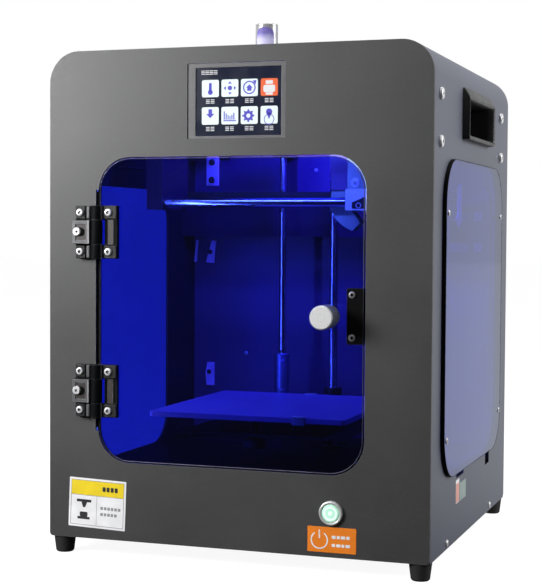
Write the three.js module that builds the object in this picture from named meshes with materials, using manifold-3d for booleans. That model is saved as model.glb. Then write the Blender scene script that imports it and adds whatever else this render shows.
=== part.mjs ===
// A small enclosed fused-filament 3-D printer: a sheet-metal case with a tinted door, side windows and
// a lift-up lid, around a belt-driven head that moves in X and Y and a bed that a lead screw lifts in Z.
// Millimetres. X runs left to right, Y front to back and Z up. The front panel's outer face is the
// plane y = 0 and the case's lower edge is z = 0, until the last lines stand the printer on its feet.
import * as THREE from "three";
import { mergeVertices } from "three/addons/utils/BufferGeometryUtils.js";
import Module from "manifold-3d";

const wasm = await Module();
wasm.setup();

// ---------- Driving dimensions ----------

const GAP = 0.2; // air between two pieces that touch
const SHEET = 2; // case sheet metal
const ACRYLIC = 3; // door, lid and windows

const CASE = { width: 300, depth: 294, height: 372, corner: 24, footCorner: 3 };
const HALF = CASE.width / 2;
const INNER = HALF - SHEET - GAP;
const FLOOR_TOP = 46;
const FOOT = { height: 13, topRadius: 8.5, baseRadius: 7, x: 141.3, inset: 9 };

const DOORWAY = { x0: -109, x1: 101.3, z0: 59.7, z1: 291.4, corner: 26 };
const DOOR_GAP = 1;
const KNOB = { radius: 8.7, length: 22 };
const DOOR_KNOB = { x: 74.8, z: 175 };
const STRIKE = { x0: 87.5, z0: 155, z1: 195.5, thick: 1.5 };
const HINGE = { x: -108, y: -5.2, radius: 4.4, pin: 2, half: 20, middle: 9, x0: -126.6, x1: -91.6 };
const HINGE_HEIGHTS = { upper: 234.7, lower: 114.3 };

const LID = { x: 100, y0: 52, y1: 252, corner: 26, rim: 12 };
const LID_AXIS = { y: 255, z: CASE.height + 5.2, radius: 3, pin: 1.5, half: 60, knuckles: 5 };

const WINDOW = { y0: 30, y1: 252, z1: 290, corner: 34, rimY: 25, rimTop: 17, holeCorner: 28 };
const WINDOW_SIDES = {
  left: { side: -1, z0: 40, holeZ0: 46 },
  right: { side: 1, z0: 54, holeZ0: 62 },
};
const HANDLE = { y0: 97, y1: 203, z0: 307, z1: 347, proud: 6, depth: 22, wall: 2 };

const DISPLAY = { x0: -36.7, x1: 39.8, z0: 304.3, z1: 359.7, depth: 9 };
const SCREEN = { x0: -30.3, x1: 36.5, z0: 306, z1: 356.2, depth: 0.8 };
const BUTTON = { x: 77, z: 32.5, rim: 9, thread: 8, bore: 6.7, cap: 6.4, travel: 2 };
const INLET = { x0: -128, x1: -80, z0: 8, z1: 36 };

const MOTOR = { size: 42, length: 34, chamfer: 4, boss: 11, shaft: 2.5 };
const ROD = 4; // radius of the X and Y rods
const ROD_HOLE = 4.3;
const Y_ROD = { x: 114, z: 318, y0: 16, y1: 272 };
const Y_BLOCK = { x0: 107, x1: 121, y0: 117, y1: 173, z0: 254, z1: 326 };
const SIDE_BOLTS = { y: [24, 264], z: [301, 335] };
const X_ROD = { z: 260, front: 125, rear: 165 };
const BELT = { thick: 1.4, width: 6, pulley: 6.35, flange: 8 };
const X_BELT = { y: 183, z: 264, left: -114, right: 125 };
const Y_BELT = { x: 100, z: 318, front: 30, rear: 250 };

const HEAD = { x0: 54, x1: 100, y0: 115, y1: 175.7, z0: 253, z1: 271, plate: 4 };
const NOZZLE = { x: 73, y: 143, z: 232 };
const EXTRUDER = { z: 303, face: 149.3 };
const BLOWER = { x0: 36, x1: 51, y: 150, z: 294, radius: 24, wall: 2, mouth: 14, rotor: 18 };

const Z_ROD = { radius: 3, y: 243, left: -43, right: 53, top: 306 };
const SCREW = { x: 5, radius: 4, top: 292, coupler: 9.5, couplerTop: 58 };
const BED = { x0: -85, x1: 75, y0: 40, y1: 206, top: 95, thick: 4, corner: 4 };
const CARRIER = { x0: -65, x1: 55, y0: 55, z0: 76, thick: 3, rear: 254, sleeve: 6.5, sleeveTop: 126 };
const LEVEL_KNOBS = { front: [-5, 64], rear_left: [-52, 196], rear_right: [42, 196] };
const STUD = 2;
const CROSSBEAM = { y: 262, z0: 232, z1: 262, thick: 2, tab: 7 };

// ---------- Materials ----------

const paint = (color, roughness, metalness) =>
  new THREE.MeshStandardMaterial({ color, roughness, metalness });
const blueAcrylic = new THREE.MeshStandardMaterial({
  color: 0x1018c8,
  roughness: 0.05,
  transparent: true,
  opacity: 0.45,
});
const MATERIAL = {
  panel: paint(0x4c4c4e, 0.45, 0.6),
  casing: paint(0x6c6f76, 0.5, 0.2),
  innerSheet: paint(0x1c1c20, 0.6, 0.3),
  acrylic: blueAcrylic,
  rubber: paint(0x121213, 0.8, 0),
  blackPlastic: paint(0x17181a, 0.5, 0),
  aluminium: paint(0xd6d8dc, 0.35, 0.9),
  steel: paint(0xc8ccd2, 0.2, 1),
  motorBlack: paint(0x1a1a1c, 0.4, 0.5),
  belt: paint(0x101010, 0.9, 0),
  bed: paint(0x2a2a30, 0.6, 0.1),
  screen: paint(0x10142a, 0.1, 0),
  board: paint(0x14503a, 0.6, 0),
  button: paint(0xbfeed8, 0.3, 0),
};

// ---------- Solids from three.js geometries ----------

function solid(geometry) {
  const bare = geometry.index ? geometry.toNonIndexed() : geometry.clone();
  bare.deleteAttribute("normal");
  bare.deleteAttribute("uv");
  const merged = mergeVertices(bare, 1e-4);
  const vertProperties = new Float32Array(merged.attributes.position.array);
  const triVerts = new Uint32Array(merged.index.array);
  return new wasm.Manifold(new wasm.Mesh({ numProp: 3, vertProperties, triVerts }));
}

function geometryOf(body) {
  const { vertProperties, triVerts } = body.getMesh();
  const geometry = new THREE.BufferGeometry();
  geometry.setAttribute("position", new THREE.BufferAttribute(vertProperties, 3));
  geometry.setIndex(new THREE.BufferAttribute(triVerts, 1));
  geometry.computeVertexNormals();
  return geometry;
}

function box(x0, x1, y0, y1, z0, z1) {
  const geometry = new THREE.BoxGeometry(x1 - x0, y1 - y0, z1 - z0);
  geometry.translate((x0 + x1) / 2, (y0 + y1) / 2, (z0 + z1) / 2);
  return solid(geometry);
}

// A box with the same reach on both sides of x = 0, or its mirror image: side is 1 or -1.
function sideBox(side, inner, outer, y0, y1, z0, z1) {
  return side > 0 ? box(inner, outer, y0, y1, z0, z1) : box(-outer, -inner, y0, y1, z0, z1);
}

// Turns a geometry built along +Y so that its axis is the named one.
function turnTo(axis, geometry) {
  if (axis === "z") geometry.rotateX(Math.PI / 2);
  if (axis === "x") geometry.rotateZ(-Math.PI / 2);
  return geometry;
}

// Moves a geometry to (u, v) across the axis: (y, z) for x, (x, z) for y and (x, y) for z.
function place(axis, geometry, u, v, along = 0) {
  if (axis === "x") geometry.translate(along, u, v);
  if (axis === "y") geometry.translate(u, along, v);
  if (axis === "z") geometry.translate(u, v, along);
  return geometry;
}

function rod(axis, u, v, from, to, radius, sides = 24) {
  const geometry = new THREE.CylinderGeometry(radius, radius, to - from, sides);
  return solid(place(axis, turnTo(axis, geometry), u, v, (from + to) / 2));
}

// A turned piece: profile is [radius, distance along the axis] from the near end to the far end.
function turned(axis, u, v, profile, sides = 32) {
  const points = profile.map(([radius, along]) => new THREE.Vector2(radius, along));
  const geometry = new THREE.LatheGeometry(points, sides);
  return solid(place(axis, turnTo(axis, geometry), u, v));
}

function roundedRect(u0, u1, v0, v1, corner, lowerCorner = corner) {
  const quarter = Math.PI / 2;
  const shape = new THREE.Shape();
  shape.absarc(u1 - lowerCorner, v0 + lowerCorner, lowerCorner, -quarter, 0);
  shape.absarc(u1 - corner, v1 - corner, corner, 0, quarter);
  shape.absarc(u0 + corner, v1 - corner, corner, quarter, 2 * quarter);
  shape.absarc(u0 + lowerCorner, v0 + lowerCorner, lowerCorner, 2 * quarter, 3 * quarter);
  shape.closePath();
  return shape;
}

// A flat piece cut to a shape: the shape lies across the axis and runs from one place on it to another.
function plate(axis, shape, from, to, curveSegments = 8) {
  const settings = { depth: to - from, bevelEnabled: false, curveSegments };
  const geometry = new THREE.ExtrudeGeometry(shape, settings);
  if (axis === "y") geometry.rotateX(Math.PI / 2).translate(0, to, 0);
  if (axis === "z") geometry.translate(0, 0, from);
  if (axis === "x") {
    const turn = new THREE.Matrix4().makeBasis(
      new THREE.Vector3(0, 1, 0),
      new THREE.Vector3(0, 0, 1),
      new THREE.Vector3(1, 0, 0),
    );
    geometry.applyMatrix4(turn).translate(from, 0, 0);
  }
  return solid(geometry);
}

const joined = (first, ...rest) => rest.reduce((sum, next) => sum.add(next), first);
const cut = (body, ...tools) => tools.reduce((left, tool) => left.subtract(tool), body);

// ---------- The assembly ----------

const printer = new THREE.Group();

function part(name, body, material) {
  const mesh = new THREE.Mesh(geometryOf(body), material);
  mesh.name = name;
  printer.add(mesh);
}

// ---------- Case ----------

const caseOutline = () => roundedRect(-HALF, HALF, 0, CASE.height, CASE.corner, CASE.footCorner);

function outerShell() {
  const front = SHEET + GAP;
  const back = CASE.depth - SHEET - GAP;
  const below = 40; // the inner cut runs out through the open underside
  const outer = plate("y", roundedRect(-HALF, HALF, 0, CASE.height, CASE.corner, 0.5), front, back);
  const inside = roundedRect(
    -HALF + SHEET,
    HALF - SHEET,
    -below,
    CASE.height - SHEET,
    CASE.corner - SHEET,
    1,
  );
  let shell = cut(outer, plate("y", inside, front - 1, back + 1));
  for (const { side, holeZ0 } of Object.values(WINDOW_SIDES)) {
    const hole = roundedRect(
      WINDOW.y0 + WINDOW.rimY,
      WINDOW.y1 - WINDOW.rimY,
      holeZ0,
      WINDOW.z1 - WINDOW.rimTop,
      WINDOW.holeCorner,
    );
    const [from, to] = side > 0 ? [HALF - 5, HALF + 5] : [-HALF - 5, -HALF + 5];
    shell = cut(shell, plate("x", hole, from, to));
    const grip = sideBox(
      side,
      HALF - 5,
      HALF + 5,
      HANDLE.y0 + 3.5,
      HANDLE.y1 - 3.5,
      HANDLE.z0 + 1.5,
      HANDLE.z1 - 5.5,
    );
    shell = cut(shell, grip);
  }
  const top = roundedRect(
    -LID.x + LID.rim,
    LID.x - LID.rim,
    LID.y0 + LID.rim,
    LID.y1 - LID.rim,
    LID.corner - 4,
  );
  const cardSlot = box(HALF - 5, HALF + 5, 88, 116, 48.5, 52.5);
  const dataPort = box(HALF - 5, HALF + 5, 204, 221, 42, 52);
  const lidHole = plate("z", top, CASE.height - 5, CASE.height + 5);
  return cut(shell, lidHole, cardSlot, dataPort);
}

function frontPanel() {
  const { x0, x1, z0, z1, corner } = DOORWAY;
  const hingeNotch = box(x0 - 2.2, x0 + 4, -1, SHEET + 1, 83, 267);
  return cut(
    plate("y", caseOutline(), 0, SHEET),
    plate("y", roundedRect(x0, x1, z0, z1, corner), -1, SHEET + 1),
    hingeNotch,
    box(DISPLAY.x0, DISPLAY.x1, -1, SHEET + 1, DISPLAY.z0, DISPLAY.z1),
    rod("y", BUTTON.x, BUTTON.z, -1, SHEET + 1, BUTTON.thread + GAP),
  );
}

function rearPanel() {
  const from = CASE.depth - SHEET;
  let panel = plate("y", caseOutline(), from, CASE.depth);
  for (let row = 0; row < 3; row += 1) {
    const z = 12 + row * 9;
    panel = cut(panel, plate("y", roundedRect(-45, 45, z, z + 4, 1.9), from - 1, CASE.depth + 1, 2));
  }
  const inlet = box(INLET.x0 + 3, INLET.x1 - 3, from - 1, CASE.depth + 1, INLET.z0 + 2, INLET.z1 - 2);
  return cut(panel, inlet);
}

function basePlate() {
  let base = box(-INNER, INNER, SHEET + GAP, CASE.depth - SHEET - GAP, 0, SHEET);
  for (let column = 0; column < 7; column += 1) {
    const x = 50 + column * 12;
    base = cut(base, plate("z", roundedRect(x, x + 5, 90, 190, 2.4), -1, SHEET + 1, 2));
  }
  return base;
}

function chamberFloor() {
  const sheet = box(-INNER, INNER, SHEET + GAP, CASE.depth - SHEET - GAP, FLOOR_TOP - SHEET, FLOOR_TOP);
  const cableHole = rod("z", -120, 262, FLOOR_TOP - 5, FLOOR_TOP + 5, 9);
  const frontHole = rod("z", -112, 38, FLOOR_TOP - 5, FLOOR_TOP + 5, 7);
  return cut(sheet, rod("z", SCREW.x, Z_ROD.y, FLOOR_TOP - 5, FLOOR_TOP + 5, 12), cableHole, frontHole);
}

function addCase() {
  part("outer_shell", outerShell(), MATERIAL.casing);
  part("front_panel", frontPanel(), MATERIAL.panel);
  part("rear_panel", rearPanel(), MATERIAL.panel);
  part("base_plate", basePlate(), MATERIAL.innerSheet);
  part("chamber_floor", chamberFloor(), MATERIAL.innerSheet);
  for (const [across, x] of [["left", -FOOT.x], ["right", FOOT.x]]) {
    for (const [along, y] of [["front", FOOT.inset], ["rear", CASE.depth - FOOT.inset]]) {
      const profile = [
        [0, -FOOT.height],
        [FOOT.baseRadius - 1, -FOOT.height],
        [FOOT.baseRadius, 1 - FOOT.height],
        [FOOT.topRadius, -GAP],
        [0, -GAP],
      ];
      part(`foot_${along}_${across}`, turned("z", x, y, profile, 24), MATERIAL.rubber);
    }
  }
}

function handle(side) {
  const { y0, y1, z0, z1, proud, depth, wall } = HANDLE;
  const pocketTop = z1 - 6;
  const flange = sideBox(side, HALF + GAP, HALF + proud, y0, y1, z0, z1);
  const tub = sideBox(side, HALF - depth, HALF + 1, y0 + 4, y1 - 4, z0 + 2, pocketTop);
  const hollow = sideBox(
    side,
    HALF - depth + wall,
    HALF + proud + 1,
    y0 + 4 + wall,
    y1 - 4 - wall,
    z0 + 2 + wall,
    pocketTop - wall,
  );
  return cut(joined(flange, tub), hollow);
}

function addSides() {
  for (const [name, { side, z0 }] of Object.entries(WINDOW_SIDES)) {
    const outline = roundedRect(WINDOW.y0, WINDOW.y1, z0, WINDOW.z1, WINDOW.corner);
    const near = HALF + GAP;
    const [from, to] = side > 0 ? [near, near + ACRYLIC] : [-near - ACRYLIC, -near];
    part(`window_${name}`, plate("x", outline, from, to), MATERIAL.acrylic);
    part(`handle_${name}`, handle(side), MATERIAL.blackPlastic);
  }
}

// ---------- Door ----------

// A turned knob that stands out along the axis from a face at start; direction is 1 or -1.
function knob(axis, u, v, start, direction) {
  const { radius, length } = KNOB;
  const profile = [
    [0, 0],
    [radius - 1, 0],
    [radius - 1, 3],
    [radius, 4],
    [radius, length - 0.8],
    [radius - 0.8, length],
    [0, length],
  ];
  const along = profile.map(([r, distance]) => [r, start + direction * (GAP + distance)]);
  return turned(axis, u, v, direction > 0 ? along : along.reverse());
}

// The leaf screwed to the front panel, with the middle knuckle and the pin.
function hingeFrameLeaf(z) {
  const { x, y, radius, pin, half, middle, x0 } = HINGE;
  return joined(
    box(x0, x - 4, -8, -GAP, z - middle, z + middle),
    box(x0 + 0.8, x - radius - 0.4, -4.5, -GAP, z - half, z + half),
    rod("z", x, y, z - middle, z + middle, radius),
    rod("z", x, y, z - half + 0.5, z + half - 0.5, pin, 16),
  );
}

// The leaf screwed to the door: two pads with the outer knuckles, tied by a bar beyond a slot.
function hingeDoorLeaf(z) {
  const { x, y, radius, pin, half, middle, x1: outer } = HINGE;
  const inner = x + 4.3;
  const ends = [[-half, -middle - 0.3], [middle + 0.3, half]];
  const knuckles = ends.map(([low, high]) =>
    joined(
      rod("z", x, y, z + low, z + high, radius),
      box(x, inner + 1, -7, -2, z + low, z + high),
      box(inner, outer, -4.5, -GAP, z + low, z + high),
    ),
  );
  const bar = box(outer - 7, outer, -3, -GAP, z - half, z + half);
  return cut(joined(...knuckles, bar), rod("z", x, y, z - half - 1, z + half + 1, pin + 0.3, 16));
}

function addDoor() {
  const { x0, x1, z0, z1, corner } = DOORWAY;
  const edge = DOOR_GAP;
  const outline = roundedRect(x0 + edge, x1 - edge, z0 + edge, z1 - edge, corner - edge);
  part("front_door", plate("y", outline, 0, ACRYLIC), MATERIAL.acrylic);
  part("door_knob", knob("y", DOOR_KNOB.x, DOOR_KNOB.z, 0, -1), MATERIAL.aluminium);
  const strikeBack = ACRYLIC + GAP + STRIKE.thick;
  const strike = box(STRIKE.x0, x1 - edge, ACRYLIC + GAP, strikeBack, STRIKE.z0, STRIKE.z1);
  part("door_strike_plate", strike, MATERIAL.motorBlack);
  const magnet = joined(
    box(x1 - 12, x1 + 17, strikeBack + GAP, strikeBack + 11, STRIKE.z0 + 3, STRIKE.z1 - 3),
    box(x1 + 1.5, x1 + 17, SHEET + GAP, strikeBack + 1, STRIKE.z0 + 3, STRIKE.z1 - 3),
  );
  part("door_magnet", magnet, MATERIAL.blackPlastic);
  for (const [name, z] of Object.entries(HINGE_HEIGHTS)) {
    part(`hinge_${name}_frame_leaf`, hingeFrameLeaf(z), MATERIAL.blackPlastic);
    part(`hinge_${name}_door_leaf`, hingeDoorLeaf(z), MATERIAL.blackPlastic);
  }
}

// ---------- Lid ----------

// Every second knuckle along the lid's hinge, starting with number first, as [x0, x1] spans.
function knuckleSpans(first) {
  const pitch = (2 * LID_AXIS.half) / LID_AXIS.knuckles;
  const spans = [];
  for (let n = first; n < LID_AXIS.knuckles; n += 2) {
    spans.push([-LID_AXIS.half + n * pitch + 0.2, -LID_AXIS.half + (n + 1) * pitch - 0.2]);
  }
  return spans;
}

function addLid() {
  const top = CASE.height + GAP;
  const { y, z, radius, pin, half } = LID_AXIS;
  const outline = roundedRect(-LID.x, LID.x, LID.y0, LID.y1, LID.corner);
  part("top_lid", plate("z", outline, top, top + ACRYLIC), MATERIAL.acrylic);
  part("lid_knob", knob("z", 0, 73, top + ACRYLIC, 1), MATERIAL.aluminium);
  const standing = knuckleSpans(0).map(([a, b]) =>
    joined(rod("x", y, z, a, b, radius, 16), box(a, b, y - 1.5, y + 3, top + 1, z)),
  );
  const base = joined(
    box(-half, half, LID.y1 + 0.5, LID.y1 + 20, top, top + 1.8),
    rod("x", y, z, -half, half, pin, 12),
    ...standing,
  );
  part("lid_hinge_base", base, MATERIAL.steel);
  const leafBottom = top + ACRYLIC + GAP;
  const moving = knuckleSpans(1).map(([a, b]) =>
    joined(rod("x", y, z, a, b, radius, 16), box(a, b, y - 6, y, leafBottom, leafBottom + 1.5)),
  );
  const leaf = joined(box(-half, half, LID.y1 - 16, y - 4, leafBottom, leafBottom + 1.5), ...moving);
  part("lid_hinge_leaf", cut(leaf, rod("x", y, z, -half - 1, half + 1, pin + 0.3, 12)), MATERIAL.steel);
}

// ---------- Controls and electronics ----------

function displayModule() {
  const { x0, x1, z0, z1, depth } = DISPLAY;
  const front = 0.8;
  return cut(
    box(x0 + GAP, x1 - GAP, front, depth, z0 + GAP, z1 - GAP),
    box(SCREEN.x0, SCREEN.x1, front - 1, front + SCREEN.depth, SCREEN.z0, SCREEN.z1),
  );
}

function addControls() {
  const { x, z, rim, thread, bore, cap, travel } = BUTTON;
  part("display_module", displayModule(), MATERIAL.screen);
  const depth = 28;
  const housing = [
    [0, depth],
    [thread, depth],
    [thread, 5],
    [thread + 3, 5],
    [thread + 3, SHEET + GAP],
    [thread, SHEET + GAP],
    [thread, -GAP],
    [rim, -GAP],
    [rim - 0.8, -2],
    [bore, -2],
    [bore, 4 + travel + 2],
    [0, 4 + travel + 2],
  ];
  part("power_button_housing", turned("y", x, z, housing.reverse(), 32), MATERIAL.steel);
  const stem = [[0, -2.6], [cap - 0.6, -2.6], [cap, -2], [cap, 4], [0, 4]];
  part("power_button_cap", turned("y", x, z, stem, 32), MATERIAL.button);

  const outer = CASE.depth + GAP;
  const inlet = cut(
    joined(
      box(INLET.x0, INLET.x1, outer, outer + 2, INLET.z0, INLET.z1),
      box(INLET.x0 + 4, INLET.x1 - 4, outer - 24, outer + 1, INLET.z0 + 3, INLET.z1 - 3),
    ),
    box(INLET.x0 + 11, INLET.x1 - 11, outer - 16, outer + 3, INLET.z0 + 6, INLET.z1 - 6),
  );
  part("power_inlet", inlet, MATERIAL.blackPlastic);
  const board = joined(
    box(40, 140, 60, 200, 9, 10.6),
    box(48, 62, 72, 120, 10, 24),
    box(78, 100, 90, 112, 10, 15),
    box(112, 132, 70, 190, 10, 22),
  );
  part("mainboard", board, MATERIAL.board);
}

// ---------- Motion system ----------

// A square stepper motor whose shaft leaves from face, towards direction, along the axis.
function motor(axis, u, v, face, direction, shaftLength) {
  const { size, length, chamfer, boss, shaft } = MOTOR;
  const h = size / 2;
  const c = h - chamfer;
  const corners = [[h, -c], [h, c], [c, h], [-c, h], [-h, c], [-h, -c], [-c, -h], [c, -h]];
  const shape = new THREE.Shape(corners.map(([p, q]) => new THREE.Vector2(u + p, v + q)));
  const span = (from, to) => [from, to].sort((a, b) => a - b);
  const [back, front] = span(face - direction * length, face);
  const [bossFrom, bossTo] = span(face - direction, face + direction * 1.8);
  const [shaftFrom, shaftTo] = span(face, face + direction * shaftLength);
  return joined(
    plate(axis, shape, back, front),
    rod(axis, u, v, bossFrom, bossTo, boss, 24),
    rod(axis, u, v, shaftFrom, shaftTo, shaft, 12),
  );
}

// A toothed pulley between two flanges, bored for a motor shaft.
function pulley(axis, u, v, from, to) {
  const { flange, pulley: pitch } = BELT;
  const rim = 1;
  const bore = MOTOR.shaft + 0.3;
  const groove = pitch - BELT.thick / 2 - 0.1;
  const profile = [
    [bore, from],
    [flange, from],
    [flange, from + rim],
    [groove, from + rim],
    [groove, to - rim],
    [flange, to - rim],
    [flange, to],
    [bore, to],
    [bore, from],
  ];
  return turned(axis, u, v, profile, 24);
}

// A closed belt round two pulleys: centres [u, v] in the plane across the axis.
function belt(axis, start, end, from, to) {
  const loop = (radius) => {
    const angle = Math.atan2(end[1] - start[1], end[0] - start[0]);
    const quarter = Math.PI / 2;
    const shape = new THREE.Path();
    shape.absarc(end[0], end[1], radius, angle - quarter, angle + quarter);
    shape.absarc(start[0], start[1], radius, angle + quarter, angle + 3 * quarter);
    shape.closePath();
    return shape;
  };
  const shape = new THREE.Shape(loop(BELT.pulley + BELT.thick / 2).getPoints(8));
  shape.holes.push(loop(BELT.pulley - BELT.thick / 2));
  return plate(axis, shape, from, to, 8);
}

// The bracket that holds a Y rod's two ends, bolted to the case wall.
function yRail(side) {
  const [low, high] = SIDE_BOLTS.z;
  const [front, rear] = SIDE_BOLTS.y;
  const wall = sideBox(side, INNER - 2, INNER, front - 8, rear + 8, low - 11, low + 3);
  const ends = [
    [front - 10, front + 12, Y_ROD.y0 - 1, Y_ROD.y0 + 5],
    [rear - 12, rear + 10, Y_ROD.y1 - 5, Y_ROD.y1 + 1],
  ].map(([tabFrom, tabTo, plateFrom, plateTo]) =>
    joined(
      sideBox(side, INNER - 2, INNER, tabFrom, tabTo, low - 11, high + 7),
      sideBox(side, Y_ROD.x - 9, INNER, plateFrom, plateTo, Y_ROD.z - 16, Y_ROD.z + 16),
    ),
  );
  const drilled = rod("y", side * Y_ROD.x, Y_ROD.z, Y_ROD.y0 - 5, Y_ROD.y1 + 5, ROD + GAP);
  return cut(joined(wall, ...ends), drilled);
}

// The stub axle for the Y belt's front end, on an arm of the right rail.
function yIdlerArm() {
  const { x, z, front } = Y_BELT;
  return joined(
    box(x - 3, Y_ROD.x - 8, Y_ROD.y0 - 1, Y_ROD.y0 + 5, z - 6, z + 6),
    box(x - 3, x - 1, Y_ROD.y0 - 1, front + 6, z - 6, z + 6),
    rod("x", front, z, x - 2, x + BELT.width + 0.8, BELT.pulley - BELT.thick / 2 - 0.2, 20),
  );
}

// The sliding block that carries one end of the X rods along a Y rod.
function yBlock(side) {
  const { x0, x1, y0, y1, z0, z1 } = Y_BLOCK;
  const body = sideBox(side, x0, x1, y0, y1, z0, z1);
  const rodHoles = [X_ROD.front, X_ROD.rear].map((y) =>
    rod("x", y, X_ROD.z, ...(side > 0 ? [x0 - 1, x1 - 3] : [3 - x1, 1 - x0]), ROD + 0.1),
  );
  const slideHole = rod("y", side * Y_ROD.x, Y_ROD.z, y0 - 1, y1 + 1, ROD_HOLE);
  return cut(body, ...rodHoles, slideHole);
}

function leftBlock() {
  const { x0, x1, y1, z0 } = Y_BLOCK;
  const stub = BELT.pulley - BELT.thick / 2 - 0.2;
  return joined(
    yBlock(-1),
    box(-x1, -x0, y1 - 3, X_BELT.y + 9, z0, z0 + 3),
    rod("z", X_BELT.left, X_BELT.y, z0 + 1, X_BELT.z + BELT.width + 1.5, stub, 20),
  );
}

function rightBlock() {
  const { x0, y0, y1, z0 } = Y_BLOCK;
  const half = MOTOR.size / 2;
  const shelf = box(x0, X_BELT.right + half, y1 - 3, X_BELT.y + half, z0, z0 + 3);
  const beltBottom = Y_BELT.z - BELT.pulley - BELT.thick / 2 - GAP;
  const clamp = box(Y_BELT.x + 2, x0 + 1, y0 + 18, y0 + 38, beltBottom - 2.5, beltBottom);
  const bore = rod("z", X_BELT.right, X_BELT.y, z0 - 1, z0 + 4, MOTOR.boss + 0.5);
  return cut(joined(yBlock(1), shelf, clamp), bore);
}

function addYAxis() {
  for (const [name, side] of [["left", -1], ["right", 1]]) {
    const shaft = rod("y", side * Y_ROD.x, Y_ROD.z, Y_ROD.y0, Y_ROD.y1, ROD);
    part(`y_rod_${name}`, shaft, MATERIAL.steel);
  }
  part("y_rail_left", yRail(-1), MATERIAL.innerSheet);
  part("y_rail_right", joined(yRail(1), yIdlerArm()), MATERIAL.innerSheet);
  part("y_block_left", leftBlock(), MATERIAL.blackPlastic);
  part("y_block_right", rightBlock(), MATERIAL.blackPlastic);

  const { x, z, front, rear } = Y_BELT;
  const face = x - 3;
  const back = CASE.depth - SHEET - GAP;
  const foot = box(face - 30, face - 6, rear + MOTOR.size / 2 - 1, back, z - 14, z + 14);
  part("y_motor", joined(motor("x", rear, z, face, 1, 10), foot), MATERIAL.motorBlack);
  part("y_pulley", pulley("x", rear, z, x - 1, x + BELT.width + 1), MATERIAL.aluminium);
  part("y_belt", belt("x", [front, z], [rear, z], x, x + BELT.width), MATERIAL.belt);
}

function addXAxis() {
  const reach = Y_BLOCK.x1 - 3.2;
  for (const name of ["front", "rear"]) {
    part(`x_rod_${name}`, rod("x", X_ROD[name], X_ROD.z, -reach, reach, ROD), MATERIAL.steel);
  }
  const { y, z, left, right } = X_BELT;
  part("x_motor", motor("z", right, y, Y_BLOCK.z0 - GAP, 1, 20), MATERIAL.motorBlack);
  part("x_pulley", pulley("z", right, y, z - 1, z + BELT.width + 1), MATERIAL.aluminium);
  part("x_belt", belt("z", [left, y], [right, y], z, z + BELT.width), MATERIAL.belt);
}

// ---------- Print head ----------

function xCarriage() {
  const { x0, x1, y0, y1, z0, z1, plate: thick } = HEAD;
  const top = z1 + thick;
  const blocks = joined(
    box(x0, x1, y0, X_ROD.front + 10, z0, z1),
    box(x0, x1, X_ROD.rear - 10, y1, z0, z1),
    box(x0, x1, y0, y1, z1 - 0.5, top),
    box(x0, x1, y0, y0 + 3, z1, 300),
    box(x0, x0 + 40, NOZZLE.y - 14, NOZZLE.y + 6, top - 1, 318),
    box(BLOWER.x1 + GAP, x0 + 1, BLOWER.y - 8, BLOWER.y + 8, z1, top),
  );
  return cut(
    blocks,
    rod("x", X_ROD.front, X_ROD.z, x0 - 1, x1 + 1, ROD_HOLE),
    rod("x", X_ROD.rear, X_ROD.z, x0 - 1, x1 + 1, ROD_HOLE),
    rod("z", NOZZLE.x, NOZZLE.y, z0 - 1, 283, 11.5),
    rod("y", x0 + 20, EXTRUDER.z, EXTRUDER.face - 3, EXTRUDER.face + 1, MOTOR.boss + 0.3),
  );
}

function hotEnd() {
  const { x, y, z } = NOZZLE;
  const sink = [[0, z + 15], [3, z + 15], [3, z + 19]];
  for (let fin = 0; fin < 6; fin += 1) {
    const low = z + 19 + fin * 4;
    sink.push([11, low], [11, low + 2], [6, low + 2], [6, low + 4]);
  }
  sink.push([0, z + 43]);
  const nozzle = [[0, z], [1, z], [3.5, z + 3], [3.5, z + 5], [0, z + 5]];
  return joined(
    turned("z", x, y, sink, 20),
    box(x - 8, x + 12, y - 8, y + 8, z + 4, z + 16),
    turned("z", x, y, nozzle, 16),
  );
}

// The radial fan's snail housing: a drum, open on one side, with an outlet that points down.
function blower() {
  const { x0, x1, y, z, radius, wall, mouth } = BLOWER;
  const low = z - radius;
  const shell = joined(rod("x", y, z, x0, x1, radius, 32), box(x0, x1, y - radius + 4, y - 4, low, z));
  const air = joined(
    rod("x", y, z, x0 + wall, x1 - wall, radius - wall, 32),
    box(x0 + wall, x1 - wall, y - radius + 4 + wall, y - 4 - wall, low - 1, z),
  );
  return cut(shell, air, rod("x", y, z, x0 - 1, x0 + wall + 1, mouth, 24));
}

function blowerRotor() {
  const { x0, x1, y, z, wall, rotor } = BLOWER;
  const back = x1 - wall - 1;
  const front = x0 + wall + 1;
  const hub = rod("x", y, z, front, back, 7, 20);
  const blades = [];
  for (let n = 0; n < 14; n += 1) {
    const angle = (n / 14) * Math.PI * 2;
    const blade = new THREE.BoxGeometry(back - front - 1, rotor - 8, 1);
    blade.translate((front + back) / 2, (rotor + 8) / 2 - 0.5, 0);
    blades.push(solid(blade.rotateX(angle).translate(0, y, z)));
  }
  return joined(hub, rod("x", y, z, back - 1.5, back, rotor, 28), ...blades);
}

// The duct that bends the fan's air in under the nozzle.
function fanDuct() {
  const { x0, x1, y, z, radius } = BLOWER;
  const top = z - radius - GAP;
  const front = y - radius + 6;
  const shape = new THREE.Shape();
  shape.moveTo(x0, top);
  shape.lineTo(x0 - 2, 256);
  shape.quadraticCurveTo(x0 + 4, 242, x0 + 17.5, 237);
  shape.lineTo(x0 + 24, 243.5);
  shape.lineTo(x1 + 2.5, 252.7);
  shape.lineTo(x1, 260);
  shape.lineTo(x1, top);
  shape.closePath();
  const mouth = [[x0 + 16, 241.5], [x0 + 20, 245.5], [x0 + 27, 241], [x0 + 20, 234]];
  const outlet = new THREE.Shape(mouth.map(([x, height]) => new THREE.Vector2(x, height)));
  return cut(plate("y", shape, front, y - 4), plate("y", outlet, front + 3, y - 7));
}

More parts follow.
